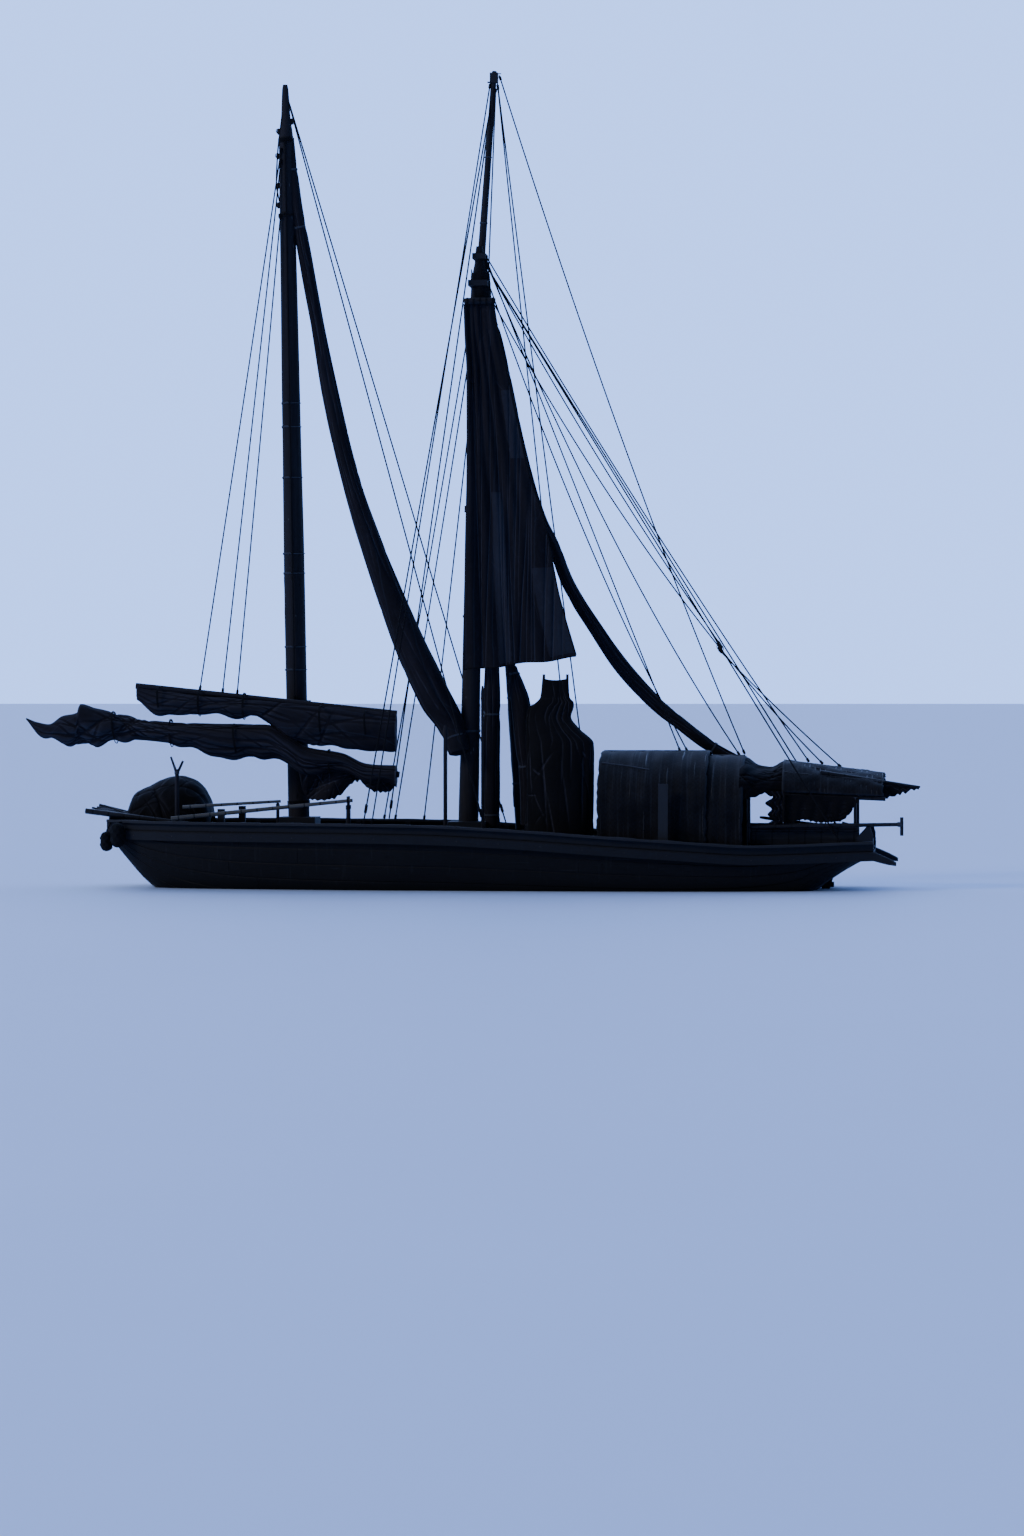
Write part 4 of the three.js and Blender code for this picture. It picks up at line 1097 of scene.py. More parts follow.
# Furled cloth; columns: height, x, y, radius
FORE_ROLL = np.array([
    [9.160, -2.495, 0, 0.048], [8.400, -2.430, 0, 0.074], [7.622, -2.299, 0, 0.084],
    [7.024, -2.189, -0.005, 0.084], [5.939, -1.982, -0.020, 0.107], [5.329, -1.841, -0.032, 0.112],
    [4.720, -1.671, -0.045, 0.123], [4.110, -1.463, -0.060, 0.143], [3.500, -1.232, -0.078, 0.166],
    [2.890, -0.982, -0.095, 0.191], [2.585, -0.835, -0.105, 0.200], [2.290, -0.690, -0.110, 0.200],
    [2.010, -0.520, -0.100, 0.172], [1.800, -0.440, -0.150, 0.150], [1.620, -0.385, -0.185, 0.125]])
MAIN_ROLL = np.array([
    [7.030, -0.072, 0.090, 0.050], [6.780, 0.022, 0.150, 0.050], [6.183, 0.150, 0.210, 0.055],
    [5.330, 0.320, 0.280, 0.062], [4.476, 0.560, 0.330, 0.072], [4.170, 0.705, 0.350, 0.076],
    [3.744, 0.866, 0.385, 0.081], [3.500, 0.994, 0.405, 0.086], [3.134, 1.226, 0.430, 0.093],
    [2.768, 1.476, 0.455, 0.102], [2.402, 1.793, 0.480, 0.101], [2.159, 2.043, 0.505, 0.092],
    [2.040, 2.195, 0.525, 0.086], [1.665, 2.695, 0.590, 0.080], [1.535, 2.950, 0.635, 0.072],
    [1.500, 3.050, 0.650, 0.055]])
FOLDS = np.array([
    [3.300, -0.010, 0, 0.055], [2.600, -0.012, 0, 0.095], [2.300, -0.014, 0, 0.105],
    [1.500, -0.018, 0, 0.108], [0.712, -0.022, 0, 0.110]])
# Sailcloth gathered beside the leaning pole, from the sail's hem to the deck
STRIP = np.array([
    [2.700, 0.225, 0.200, 0.045], [2.500, 0.265, 0.150, 0.090], [2.250, 0.325, 0.130, 0.120],
    [1.850, 0.370, 0.110, 0.125], [1.300, 0.430, 0.090, 0.120], [0.735, 0.460, 0.080, 0.130]])
# Rolls: name, table, steps, seed, ties as shares of the length, node
ROLLS = (
    ("fore_roll_cloth", FORE_ROLL, 300, 91, (0.05, 0.14, 0.97), "fore_sail_roll"),
    ("main_roll_cloth", MAIN_ROLL, 300, 97, (0.03, 0.12, 0.93), "main_sail_roll"),
    ("main_bunched_cloth", FOLDS, 140, 103, (0.46, 0.93), "main_sail_folds"),
)
LOOSE_EDGES = 2
ROLL_SIDES = 72


def furled(centres, radii, seed, pleat, ties):
    """A roll of cloth: loose outer edges that run lengthwise, creases, and a nip at each tie."""
    shape = Shape()
    run = distance(centres)
    u, v = run[:, None], full_turn(ROLL_SIDES)[None]
    draw = random.Random(seed)
    profile = np.full((len(centres), ROLL_SIDES), 1.05)
    for k in range(LOOSE_EDGES):
        phase = TAU * k / LOOSE_EDGES + draw.uniform(0, 1.0) + 0.35 * np.sin(u * 0.6 + k) + 0.05 * u
        profile += (0.14 / LOOSE_EDGES) * (np.mod(v - phase, TAU) / TAU - 1)
    for place in ties:
        profile *= 1 - 0.09 * bump_at(u, place * run[-1], 0.06)
        i = min(max(int(np.searchsorted(run, place * run[-1])), 1), len(centres) - 2)
        shape.coil(centres[i], centres[i + 1] - centres[i - 1], float(radii[i]) * 0.90, 2.2, 0.006, 1)
    mean = float(radii.mean())
    count = int(run[-1] * 16)
    sink = creases(u, v * mean, TAU * mean, seed + 5, count, 0.55, pleat * 0.55, 0.011, 0.035)
    sink = sink + creases(u, v * mean, TAU * mean, seed + 7, count // 2, 0.10, pleat * 0.3, 0.014, 0.5)
    size = radii[:, None] * profile - np.minimum(sink, 0.3 * radii[:, None])
    size[[0, -1]] *= 0.55
    return shape.tube(centres, size, ROLL_SIDES)


def roll_line(table, steps):
    """Centres and radii of a roll, evenly spaced along it."""
    z = over(table, 400)
    x, y, radius = follow(table, z).T
    line = grid(x, y, z)
    run = distance(line)
    even = np.linspace(0, run[-1], steps)
    return grid(*(np.interp(even, run, row) for row in line.T)), np.interp(even, run, radius)


class JUNK_OT_rolls(JunkOperator, bpy.types.Operator):
    """Makes the two long furled sails and the cloth bunched along the main mast"""
    bl_idname = "junk.rolls"
    bl_label = "Furled rolls"

    def build(self):
        for name, table, steps, seed, ties, node in ROLLS:
            cloth = furled(*roll_line(table, steps), seed, sizes().pleat, ties)
            done = cloth.piece(name, "sail_cloth", ["cloth", "twine"], [node], angle=55)


# Furled cloth of the lowered foresail; columns: x, underside, top, half thickness
LOWER_BUNDLE = np.array([
    [-5.705, 2.030, 2.062, 0.020], [-5.573, 1.884, 2.012, 0.070], [-5.427, 1.787, 1.988, 0.120],
    [-5.256, 1.726, 2.085, 0.155], [-5.060, 1.697, 2.140, 0.180], [-5.030, 1.696, 2.240, 0.180],
    [-4.854, 1.695, 2.195, 0.190], [-4.451, 1.768, 2.122, 0.195], [-4.183, 1.774, 2.067, 0.195],
    [-3.841, 1.723, 2.018, 0.195], [-3.573, 1.659, 2.018, 0.195], [-3.207, 1.555, 2.012, 0.195],
    [-2.720, 1.573, 1.988, 0.190], [-2.476, 1.500, 1.854, 0.185], [-2.232, 1.366, 1.713, 0.180],
    [-1.805, 1.402, 1.640, 0.165], [-1.500, 1.280, 1.512, 0.150], [-1.134, 1.244, 1.488, 0.110]])
# columns: x, underside, half thickness; its top is the yard
UPPER_BUNDLE = np.array([
    [-4.329, 2.256, 0.060], [-4.000, 2.073, 0.140], [-3.573, 2.079, 0.160], [-2.878, 2.037, 0.170],
    [-2.354, 1.744, 0.170], [-1.988, 1.695, 0.170], [-1.744, 1.671, 0.160], [-1.256, 1.646, 0.130],
    [-1.134, 1.671, 0.090]])
# columns: x, z, radius
FORE_BOOM = np.array([
    [-5.305, 1.872, 0.038], [-4.793, 1.854, 0.042], [-4.305, 1.835, 0.045], [-3.840, 1.787, 0.045],
    [-3.207, 1.671, 0.045], [-2.720, 1.634, 0.045], [-2.415, 1.561, 0.044], [-2.232, 1.524, 0.043],
    [-1.800, 1.490, 0.042], [-1.500, 1.427, 0.040], [-1.100, 1.374, 0.038]])
FORE_YARD = ((-4.340, FORE_SAIL_Y, 2.452), (-1.130, FORE_SAIL_Y, 2.122))
FORE_YARD_RADII = (0.0375, 0.0315)
UPPER_GASKETS = (-4.05, -3.55, -3.00, -2.05, -1.50)
LOWER_GASKETS = (-4.60, -3.90, -3.10, -1.95)
# Hem of the cloth that hangs loose under the boom, clear of the deck poles when the sail swings
# columns: x, height
LOOSE_HEM = np.array([
    [-2.330, 1.370], [-2.290, 1.180], [-2.230, 1.075], [-2.050, 1.062], [-1.900, 1.085], [-1.800, 1.150],
    [-1.700, 1.260], [-1.590, 1.300], [-1.500, 1.225], [-1.380, 1.165], [-1.250, 1.160], [-1.165, 1.215]])


def yard_height(x):
    """Height of the fore yard's middle."""
    start, end = FORE_YARD
    return start[2] + (x - start[0]) / (end[0] - start[0]) * (end[2] - start[2])


def bundle(x, low, high, half, seed, tip=0.0):
    """Cloth gathered on a spar: an oval with long creases, and slanting ones towards its narrow tip."""
    pleat = sizes().pleat * 1.2
    u, v = x[:, None], full_turn(128)[None]
    tall = (high - low) / 2
    least = np.minimum(half, tall)
    mean = float(least.mean())
    cloth = (u, v * mean, TAU * mean)
    sink = creases(*cloth, seed, 46, 0.55, pleat * 1.1, 0.026, 0.10)
    sink = sink + creases(*cloth, seed + 1, 44, 0.22, pleat * 0.9, 0.018, 0.40)
    if tip:
        for lean in (-0.6, 0.5):
            sink = sink + creases(*cloth, seed + 2, 15, 0.26, pleat * 1.5, 0.026, 0.25, lean, (0, tip))
    room = 0.5 * least[:, None]
    inward = room * np.tanh(sink / np.maximum(room, 0.001))
    ragged = 0.018 * np.maximum(0, -np.sin(v)) * ripple(u * 7, u * 0, seed + 5)
    ragged = ragged * np.minimum(1, tall / 0.1)[:, None]
    y = FORE_SAIL_Y + (half[:, None] - inward) * np.cos(v)
    z = ((low + high) / 2)[:, None] + (tall[:, None] - inward) * np.sin(v) + ragged
    return Shape().loft(grid(u, y, z))


class JUNK_OT_foresail(JunkOperator, bpy.types.Operator):
    """Makes the lowered foresail: boom, yard, two bundles of furled cloth, gaskets and loose foot"""
    bl_idname = "junk.foresail"
    bl_label = "Lowered foresail"

    def build(self):
        x = over(LOWER_BUNDLE, 420)
        lower = bundle(x, *follow(LOWER_BUNDLE, x).T, 113, tip=0.35)
        done = lower.piece("foresail_lower_cloth", "sail_cloth", ["cloth"], ["foresail_bundle_lower"],
                           angle=70, body=FORESAIL)
        x = over(UPPER_BUNDLE, 300)
        low, half = follow(UPPER_BUNDLE, x).T
        upper = bundle(x, low, yard_height(x) + 0.014, half, 127)
        done = upper.piece("foresail_upper_cloth", "sail_cloth", ["cloth"], ["foresail_bundle_upper"],
                           angle=70, body=FORESAIL)
        self.spars()
        self.gaskets()
        self.loose_foot()

    def spars(self):
        x = over(FORE_BOOM, 80)
        z, radius = follow(FORE_BOOM, x).T
        boom = Shape().tube(grid(x, FORE_SAIL_Y, z), radius - 0.0005, 16)
        boom.piece("foresail_boom_pole", "spar_wood", ["spar_x"], ["fore_boom"], body=FORESAIL)
        nodes = 1 - 0.03 * (np.sin(np.linspace(0, 40, 60)) > 0.9)
        yard = Shape().tube(straight(*FORE_YARD, 60), np.linspace(*FORE_YARD_RADII, 60) * nodes, 16)
        yard.piece("foresail_yard_pole", "spar_wood", ["spar_x"], ["fore_yard"], body=FORESAIL)

    def gaskets(self):
        ropes = Shape()
        for x in UPPER_GASKETS:
            low, half = follow(UPPER_BUNDLE, x)[0]
            high = yard_height(x) + 0.045
            ropes.coil((x, FORE_SAIL_Y, (low + high) / 2), (1, 0, 0), half, 1.5, 0.006,
                       stretch=(high - low) / 2 / half)
        for x in LOWER_GASKETS:
            low, high, half = follow(LOWER_BUNDLE, x)[0]
            ropes.coil((x, FORE_SAIL_Y, (low + high) / 2), (1, 0, 0.1), half * 0.99, 1.5, 0.006,
                       stretch=(high - low) / 2 / half)
        ropes.piece("foresail_gaskets", "rope", ["rope"], body=FORESAIL)

    def loose_foot(self):
        """The sail's foot that hangs out of the furled cloth behind the mast, drawn into slanting folds."""
        x = over(LOOSE_HEM, 170)[None]
        t = np.linspace(0, 1, 54)[:, None]
        top = follow(LOWER_BUNDLE, x[0])[:, 0] + 0.060
        hem = follow(LOOSE_HEM, x[0])[:, 0] + 0.008 * ripple(x * 40, 0 * x, 223)
        z = top + (hem - top) * t
        sink = creases(x, z, 0.6, 225, 34, 0.16, 0.030, 0.020, 0.5, 0.9)
        sink = sink + creases(x, z, 0.6, 227, 30, 0.07, 0.014, 0.012, 0.9)
        y = FORE_SAIL_Y - 0.045 * np.sin(x * 13 + 2.4 * t) * (0.25 + 0.75 * t) + sink
        cloth = Shape().sheet(x, y, z)
        done = cloth.piece("foresail_loose_foot", "sail_cloth", ["cloth"], angle=80, body=FORESAIL)


# Main sail cloth; columns: height at the fore edge, at the aft edge, x of the fore edge, x of the aft edge
MAIN_CLOTH = np.array([
    [7.084, 7.084, -0.340, 0.030], [6.670, 6.670, -0.328, 0.098], [6.280, 6.280, -0.308, 0.182],
    [5.600, 5.600, -0.305, 0.330], [5.000, 5.000, -0.308, 0.465], [4.476, 4.476, -0.318, 0.636],
    [3.500, 3.560, -0.335, 0.825], [2.640, 2.800, -0.340, 1.038]])
MAIN_YARD = ((-0.330, MAIN_SAIL_Y, 7.120), (0.050, MAIN_SAIL_Y, 7.120))
# Patches of paler cloth, as shares of the sail
# columns: from and to down the sail, fore and aft edge at the patch's top, fore and aft edge at its foot
PATCHES = (
    (0.235, 0.420, 0.78, 0.985, 0.75, 0.985),
    (0.725, 0.985, 0.75, 0.990, 0.77, 0.985),
    (0.510, 0.990, 0.36, 0.500, 0.32, 0.430),
)


def on_patches(s, t):
    """Whether places on the main sail, as shares across and down, lie on a patch."""
    found = np.zeros((len(t), s.shape[1]), bool)
    for high, low, fore, aft, fore_foot, aft_foot in PATCHES:
        share = (t - high) / (low - high)
        inside = (fore + (fore_foot - fore) * share <= s) & (s < aft + (aft_foot - aft) * share)
        found |= (share >= 0) & (share < 1) & inside
    return found


class JUNK_OT_main_sail(JunkOperator, bpy.types.Operator):
    """Hangs the main sail's cloth in folds under its short yard, with patches and a roped edge"""
    bl_idname = "junk.main_sail"
    bl_label = "Main sail"

    def build(self):
        s, t = np.linspace(0, 1, 230)[None], np.linspace(0, 1, 260)[:, None]
        drop = MAIN_CLOTH[0, 0] - MAIN_CLOTH[:, 0]
        table = np.column_stack([drop / drop[-1], MAIN_CLOTH])
        z_fore, z_aft, x_fore, x_aft = upright(table, t[:, 0])
        reach = s * (x_aft - x_fore)
        hang = t * drop[-1] + 0 * s
        fold = TAU * 5.2 * s ** 0.85 + 0.8 * np.sin(2.2 * t + 1.0) + 0.6
        deep = (0.026 - 0.006 * t) * (1 - 0.8 * s) * (0.45 + 0.55 * np.minimum(1, t * 8))
        sink = creases(hang, reach, 1.4, 131, 30, 1.6, 0.028, 0.014, 0.030)
        sink = sink + creases(hang, reach, 1.4, 137, 40, 0.25, 0.006, 0.012, 0.4)
        patched = on_patches(s, t)
        x = x_fore + reach + 0.17 * deep * np.cos(fold) * np.minimum(1, 8 * s * (1 - s))
        y = MAIN_SAIL_Y + deep * np.sin(fold) + sink - 0.003 * patched
        y = y + 0.008 * ripple(s * 6 + 0 * t, t * 7, 131)
        z = z_fore + s * (z_aft - z_fore) + 0.012 * np.sin(TAU * 2.2 * s + 0.7) * t ** 6
        cloth = Shape().sheet(x, y, z, patch=lambda i, j: int(patched[i, j]))
        sail = cloth.piece("main_sail_hanging", "sail_cloth", ["cloth", "patch"], ["main_sail_cloth"],
                           angle=80, body=MAIN_SAIL)
        points = grid(x, y, z)
        edge = Shape().tube(points[::3, -1], 0.008, 8).tube(points[-1, ::3], 0.007, 8)
        bolt_rope = edge.piece("main_sail_bolt_rope", "rope", ["rope"], body=MAIN_SAIL)
        radius = np.full(14, 0.0395)
        radius[[0, -1]] = 0.032
        yard = Shape().tube(straight(*MAIN_YARD, 14), radius, 18)
        for place in np.linspace(-0.29, 0.02, 5):
            yard.coil((place, MAIN_SAIL_Y, 7.112), (1, 0, 0), 0.047, 1.6, 0.005, 1)
        yard.piece("main_yard_pole", "spar_wood", ["spar_x", "rope"], ["main_yard"], body=MAIN_SAIL)


# Shelter
SHELTER = dict(half=0.930, spring=1.020, top=1.665, start=1.340, end=2.660)
SHELTER_AFT = dict(half=0.905, spring=1.000, top=1.610, start=2.625, end=3.095)
# Hoops: arch, height of their feet, places
HOOPS = ((SHELTER, 0.53, (1.42, 1.80, 2.20, 2.60)), (SHELTER_AFT, 0.48, (2.73, 3.045)))
HOOP_INSET = 0.042
# Ridge poles and stringers: start and end x, y, start and end height, radius, steps
STRINGERS = (
    (1.40, 2.62, 0, 1.600, 1.603, 0.013, 10),
    (2.71, 3.065, 0, 1.547, 1.547, 0.012, 6),
    (1.40, 2.64, -0.866, 0.78, 0.78, 0.015, 10),
    (2.60, 3.065, -0.860, 0.78, 0.78, 0.013, 6),
    (1.40, 2.64, 0.866, 0.78, 0.78, 0.015, 10),
    (2.60, 3.065, 0.860, 0.78, 0.78, 0.013, 6),
)
# Where the ribs stand on the two mats, and the depth and reach of the mat's sag between them
RIBS = (1.39, 1.55, 1.63, 1.74, 1.91, 2.085, 2.18, 2.35, 2.50, 2.62, 2.72, 2.88, 3.05)
MAT_SAG = 0.010
SAG_REACH = 0.075
# How far the mats lie inside the CAD arches
MAT_INSET = 0.012
# Cord across the ribs on the port side: x, then the angle on the arch
RIB_CORD = np.array([[1.38, 2.255], [1.66, 2.33], [1.96, 2.43]])


def arch_line(arch, inset, foot, steps=40, legs=10):
    """Points of an arch from its starboard foot over the top to its port foot."""
    half, spring, rise = arch["half"] - inset, arch["spring"], arch["top"] - inset - arch["spring"]
    angle = np.linspace(0, math.pi, steps)
    leg = np.stack([np.full(legs, half), np.linspace(foot, spring, legs + 1)[:-1]], axis=1)
    crown = np.stack([half * np.cos(angle), spring + rise * np.sin(angle)], axis=1)
    return np.concatenate([leg, crown, leg[::-1] * [-1, 1]])


def outward(points):
    """Directions away from an arch's inside, at each of its points."""
    ahead = np.gradient(points, axis=0)
    out = np.stack([ahead[:, 1], -ahead[:, 0]], axis=1)
    out /= np.linalg.norm(out, axis=1)[:, None]
    return out if out[0, 0] > 0 else -out


def woven_mat(shape, name, replaces):
    """Makes a mat of bamboo strips that has a thickness."""
    mat = shape.piece(name, "split_bamboo_mat", ["mat"], replaces, angle=60)
    solid = mat.modifiers.new("Mat thickness", "SOLIDIFY")
    solid.thickness = sizes().mat
    solid.offset = 1.0


def mat_arch(name, arch, foot, seed, replaces):
    """One arched mat: woven sheet that sags between its battens, with frayed ends, and the battens."""
    start, end = arch["start"], arch["end"]
    line = arch_line(arch, MAT_INSET, foot)
    out = outward(line)
    x = np.arange(start, end + 1e-6, 0.02)
    x[-1] = end
    battens = np.array([rib for rib in RIBS if start < rib < end])
    nearest = np.abs(x[:, None] - battens[None]).min(axis=1)[:, None]
    u, v = x[:, None], distance(line)[None]
    dent = MAT_SAG * np.minimum(1, nearest / SAG_REACH) ** 1.5 + 0.005 * ripple(u * 7, v * 3, seed + 1)
    fray = 0.016 * ripple(v * 30, v * 0, seed + 2, 6, 0.6, 2.0)
    ends = bump_at(u, start, 0.03) - bump_at(u, end, 0.03)
    frayed_x = np.clip(u + ends * np.abs(fray), start - 0.04, end)
    cloth = Shape().sheet(frayed_x, line[:, 0] - out[:, 0] * dent, line[:, 1] - out[:, 1] * dent)
    woven_mat(cloth, name, replaces)
    draw = random.Random(seed)
    strips = Shape()
    over_mat = line + out * 0.002
    for batten in battens:
        wobble = np.array([draw.uniform(-0.004, 0.004) for _ in line])
        strips.tube(grid(batten + wobble, *over_mat.T), 0.010, 6)
    ridge = line[len(line) // 2, 1] + 0.010
    strips.tube(grid(np.linspace(start + 0.02, end - 0.02, 12), 0, ridge), 0.009, 8)
    strips.piece(f"{name}_battens", "pole_wood", ["pole", "twine"])


class JUNK_OT_shelter(JunkOperator, bpy.types.Operator):
    """Builds the mat shelter amidships: two arched mats, battens, hoops and stringers"""
    bl_idname = "junk.shelter"
    bl_label = "Shelter"

    def build(self):
        mat_arch("shelter_mat_long", SHELTER, 0.575, 151, ["shelter_mat_fore"])
        mat_arch("shelter_mat_short", SHELTER_AFT, 0.485, 157, ["shelter_mat_aft"])
        at = over(RIB_CORD, 30)
        angle = np.interp(at, *RIB_CORD.T)
        y = (SHELTER["half"] + MAT_INSET) * np.cos(angle)
        z = SHELTER["spring"] + (SHELTER["top"] - SHELTER["spring"] + MAT_INSET) * np.sin(angle)
        Shape().tube(grid(at, y, z), 0.006, 6).piece("shelter_tie_cord", "rope", ["twine"])
        ribs = Shape()
        for arch, foot, places in HOOPS:
            for x in places:
                ribs.tube(grid(x, *arch_line(arch, HOOP_INSET, foot).T), 0.011, 8)
        for start, end, y, low, high, radius, steps in STRINGERS:
            ribs.bar((start, y, low), (end, y, high), radius, steps=steps)
        ribs.piece("shelter_hoops", "pole_wood", ["pole"], ["shelter_frame"])


# Stern canopy; columns: x, half breadth, eave height, ridge height
CANOPY = np.array([[3.540, 0.700, 1.170, 1.560], [4.780, 0.670, 1.120, 1.400]])
CANOPY_MAT = (3.545, 4.779)
CANOPY_LATHS = (3.56, 4.77)
# Long battens over the laths, as shares of the half turn over the roof, and their ends
LONG_BATTENS = (0.22, 0.34, 0.50, 0.66, 0.78)
BATTEN_ENDS = (3.56, 4.76)
# Posts and the ties between them
POST_PLACES = (3.60, 4.42)
POST_Y = 0.652
POST_TOP = 1.115
TIE_HEIGHT = 1.097
TIE_HALF = 0.66
# Eave poles: their ends, and how far they lie in and down from the mat's eave
EAVE_ENDS = (3.55, 4.78)
EAVE_IN = 0.031
EAVE_DOWN = 0.023
# On the port side: hand rail, its prop, and the washboards' ends, outer face, foot and rise
HAND_RAIL = ((3.15, -0.722, 0.723), (4.46, -0.722, 0.723))
RAIL_PROP = ((3.16, -0.760, 0.470), (3.16, -0.800, 1.160))
WASHBOARDS = 4
WASHBOARD_ENDS = (3.14, 4.46)
WASHBOARD_Y = -0.700
WASHBOARD_FOOT = 0.555
WASHBOARD_RISE = 0.062
TOP_POLE = ((4.0, -0.48, 1.410), (5.19, -0.48, 1.240))
# Cloth at the awning's port eave: fore and aft edge, height of its top, drop, y
SIDE_CLOTH_ENDS = (3.400, 3.590)
SIDE_CLOTH_TOP = 1.190
SIDE_CLOTH_DROP = 0.395
SIDE_CLOTH_Y = -0.735
# Shares of the pole between which the flap hangs; columns: share along the flap, its depth
FLAP_SPAN = (0.52, 0.99)
FLAP_DROP = np.array([[0.0, 0.180], [0.25, 0.185], [0.45, 0.150], [0.80, 0.060], [1.0, 0.010]])


def canopy_arch(x, angle, inset, lift, drop):
    """Points over the canopy at x, its half breadth, eave and ridge moved in by the given sizes."""
    half, eave, ridge = upright(CANOPY, x)
    return grid(np.reshape(x, (-1, 1)), (half - inset) * np.cos(angle),
                eave + lift + (ridge - eave - drop) * np.sin(angle))


class JUNK_OT_canopy(JunkOperator, bpy.types.Operator):
    """Builds the stern canopy: ragged arched mat, post frame, the pole on top and the cloth hung there"""
    bl_idname = "junk.canopy"
    bl_label = "Stern canopy"

    def build(self):
        angle = np.linspace(0, math.pi, 60)
        laths = np.arange(*CANOPY_LATHS, sizes().lath_gap)
        self.mat(angle, laths)
        strips = Shape()
        for lath in laths:
            line = canopy_arch(lath, angle, 0.008, 0.010, 0.016)[0]
            line[:, 0] += 0.003 * np.sin(angle * 7 + lath)
            strips.tube(line, 0.0055, 6)
        for turn in LONG_BATTENS:
            line = canopy_arch(np.linspace(*BATTEN_ENDS, 14), turn * math.pi, 0.0, 0.010, 0.016)
            strips.tube(line[:, 0], 0.008, 8)
        strips.piece("canopy_battens", "pole_wood", ["pole"])
        self.posts()
        tip = Shape().tube(straight(*TOP_POLE, 30), np.linspace(0.030, 0.012, 30))
        tip.piece("canopy_top_pole", "pole_wood", ["pole"], ["canopy_pole"])
        self.side_cloth()
        self.flap()

    def mat(self, angle, laths):
        """The roof's mat sags between the laths and is frayed at its after end."""
        x = np.arange(*CANOPY_MAT, 0.02)
        near = np.abs(x[:, None] - laths).min(axis=1) / (0.5 * sizes().lath_gap)
        sag = 0.006 * np.minimum(1.0, near) ** 1.5
        rings = canopy_arch(x, angle, MAT_INSET, MAT_INSET, 2 * MAT_INSET)
        for ring, at, depth in zip(rings, x, sag):
            dent = depth + 0.006 * ripple(at * 8, angle * 5, 169)
            ring[:, 1:] -= outward(ring[:, 1:]) * dent[:, None]
        fray = np.abs(0.05 * ripple(angle * 9, angle * 0, 171, 7, 0.7, 2.5))
        rings[:, :, 0] -= bump_at(x, CANOPY_MAT[1], 0.08)[:, None] * fray
        woven_mat(Shape().loft(rings, around=False), "canopy_woven_mat", ["canopy_mat"])

    def posts(self):
        """Posts, eaves and ties, the port side's hand rail with its prop, and the washboards below."""
        poles = Shape()
        eaves = [(x, half - EAVE_IN, eave - EAVE_DOWN)
                 for x, (half, eave, _) in zip(EAVE_ENDS, follow(CANOPY, EAVE_ENDS))]
        for side in (-1, 1):
            poles.bar(*((x, side * y, z) for x, y, z in eaves), 0.022, steps=12)
            for x in POST_PLACES:
                deck = rail_line(x)[0] - DECK_DROP
                poles.bar((x, side * POST_Y, deck), (x, side * POST_Y, POST_TOP), 0.021, 0.019, steps=8)
        for x in POST_PLACES:
            poles.bar((x, -TIE_HALF, TIE_HEIGHT), (x, TIE_HALF, TIE_HEIGHT), 0.017, steps=10)
            for side in (-1, 1):
                poles.coil((x, side * POST_Y, 1.10), (0, 0, 1), 0.030, 4, 0.005, 1)
        poles.bar(*HAND_RAIL, 0.020, steps=14)
        poles.bar(*RAIL_PROP, 0.020, 0.016, steps=10)
        for k in range(WASHBOARDS):
            outer, low = WASHBOARD_Y - 0.004 * k, WASHBOARD_FOOT + WASHBOARD_RISE * k
            poles.board(WASHBOARD_ENDS, outer, outer + 0.018, low, low + 0.070)
        poles.piece("canopy_posts", "pole_wood", ["pole", "twine"], ["canopy_frame"])

    def side_cloth(self):
        """Cloth hung from the awning's eave before the canopy's first post, torn along its fore edge."""
        t = np.linspace(0, 1, 60)[:, None]
        s = np.linspace(0, 1, 50)[None]
        fore = SIDE_CLOTH_ENDS[0] + 0.030 * ripple(t * 7, 0 * t, 203, 3)
        x = fore + (SIDE_CLOTH_ENDS[1] - fore) * s
        z = SIDE_CLOTH_TOP - SIDE_CLOTH_DROP * t + 0.020 * ripple(s * 9, 0 * s, 205) * t
        sink = creases(x, z, 0.5, 207, 24, 0.07, 0.010, 0.010, 0.8)
        y = SIDE_CLOTH_Y - 0.012 * np.sin(s * 21 + 2 * t) - 0.02 * t + sink
        cloth = Shape().sheet(x, y, z)
        done = cloth.piece("awning_side_cloth", "canvas", ["canvas"], angle=80)

    def flap(self):
        """Torn cloth that hangs from the pole's after end and runs out to a point."""
        s = np.linspace(0, 1, 70)[:, None]
        t = np.linspace(0, 1, 30)[None]
        start, end = np.array(TOP_POLE)
        hold = start + (end - start) * (FLAP_SPAN[0] + (FLAP_SPAN[1] - FLAP_SPAN[0]) * s)
        x, y, top = (hold[:, k:k + 1] for k in range(3))
        torn = 0.014 * ripple(s * 22, 0 * t, 207) * t
        fold = 0.016 * np.sin(9 * s + 2 * t) * t
        fold = fold + creases(s * 0.6, t * 0.15, 0.3, 209, 24, 0.07, 0.008, 0.010, 0.6)
        z = top - 0.006 - follow(FLAP_DROP, s[:, 0]) * t + torn
        cloth = Shape().sheet(x, y - 0.030 * (1 - s) - fold, z)
        done = cloth.piece("pole_end_flap", "canvas", ["canvas"], angle=80)


# Covers
# Curtain: its middle, half width, top, and how far its top drops aft
CURTAIN_X = 4.030
CURTAIN_HALF = 0.468
CURTAIN_TOP = 1.150
CURTAIN_FALL = 0.036
# columns: x from the curtain's middle, bottom height
CURTAIN_HEM = np.array([
    [-0.470, 0.835], [-0.400, 0.812], [-0.230, 0.850], [-0.030, 0.815], [0.210, 0.832], [0.310, 0.905],
    [0.440, 1.090], [0.470, 1.120]])
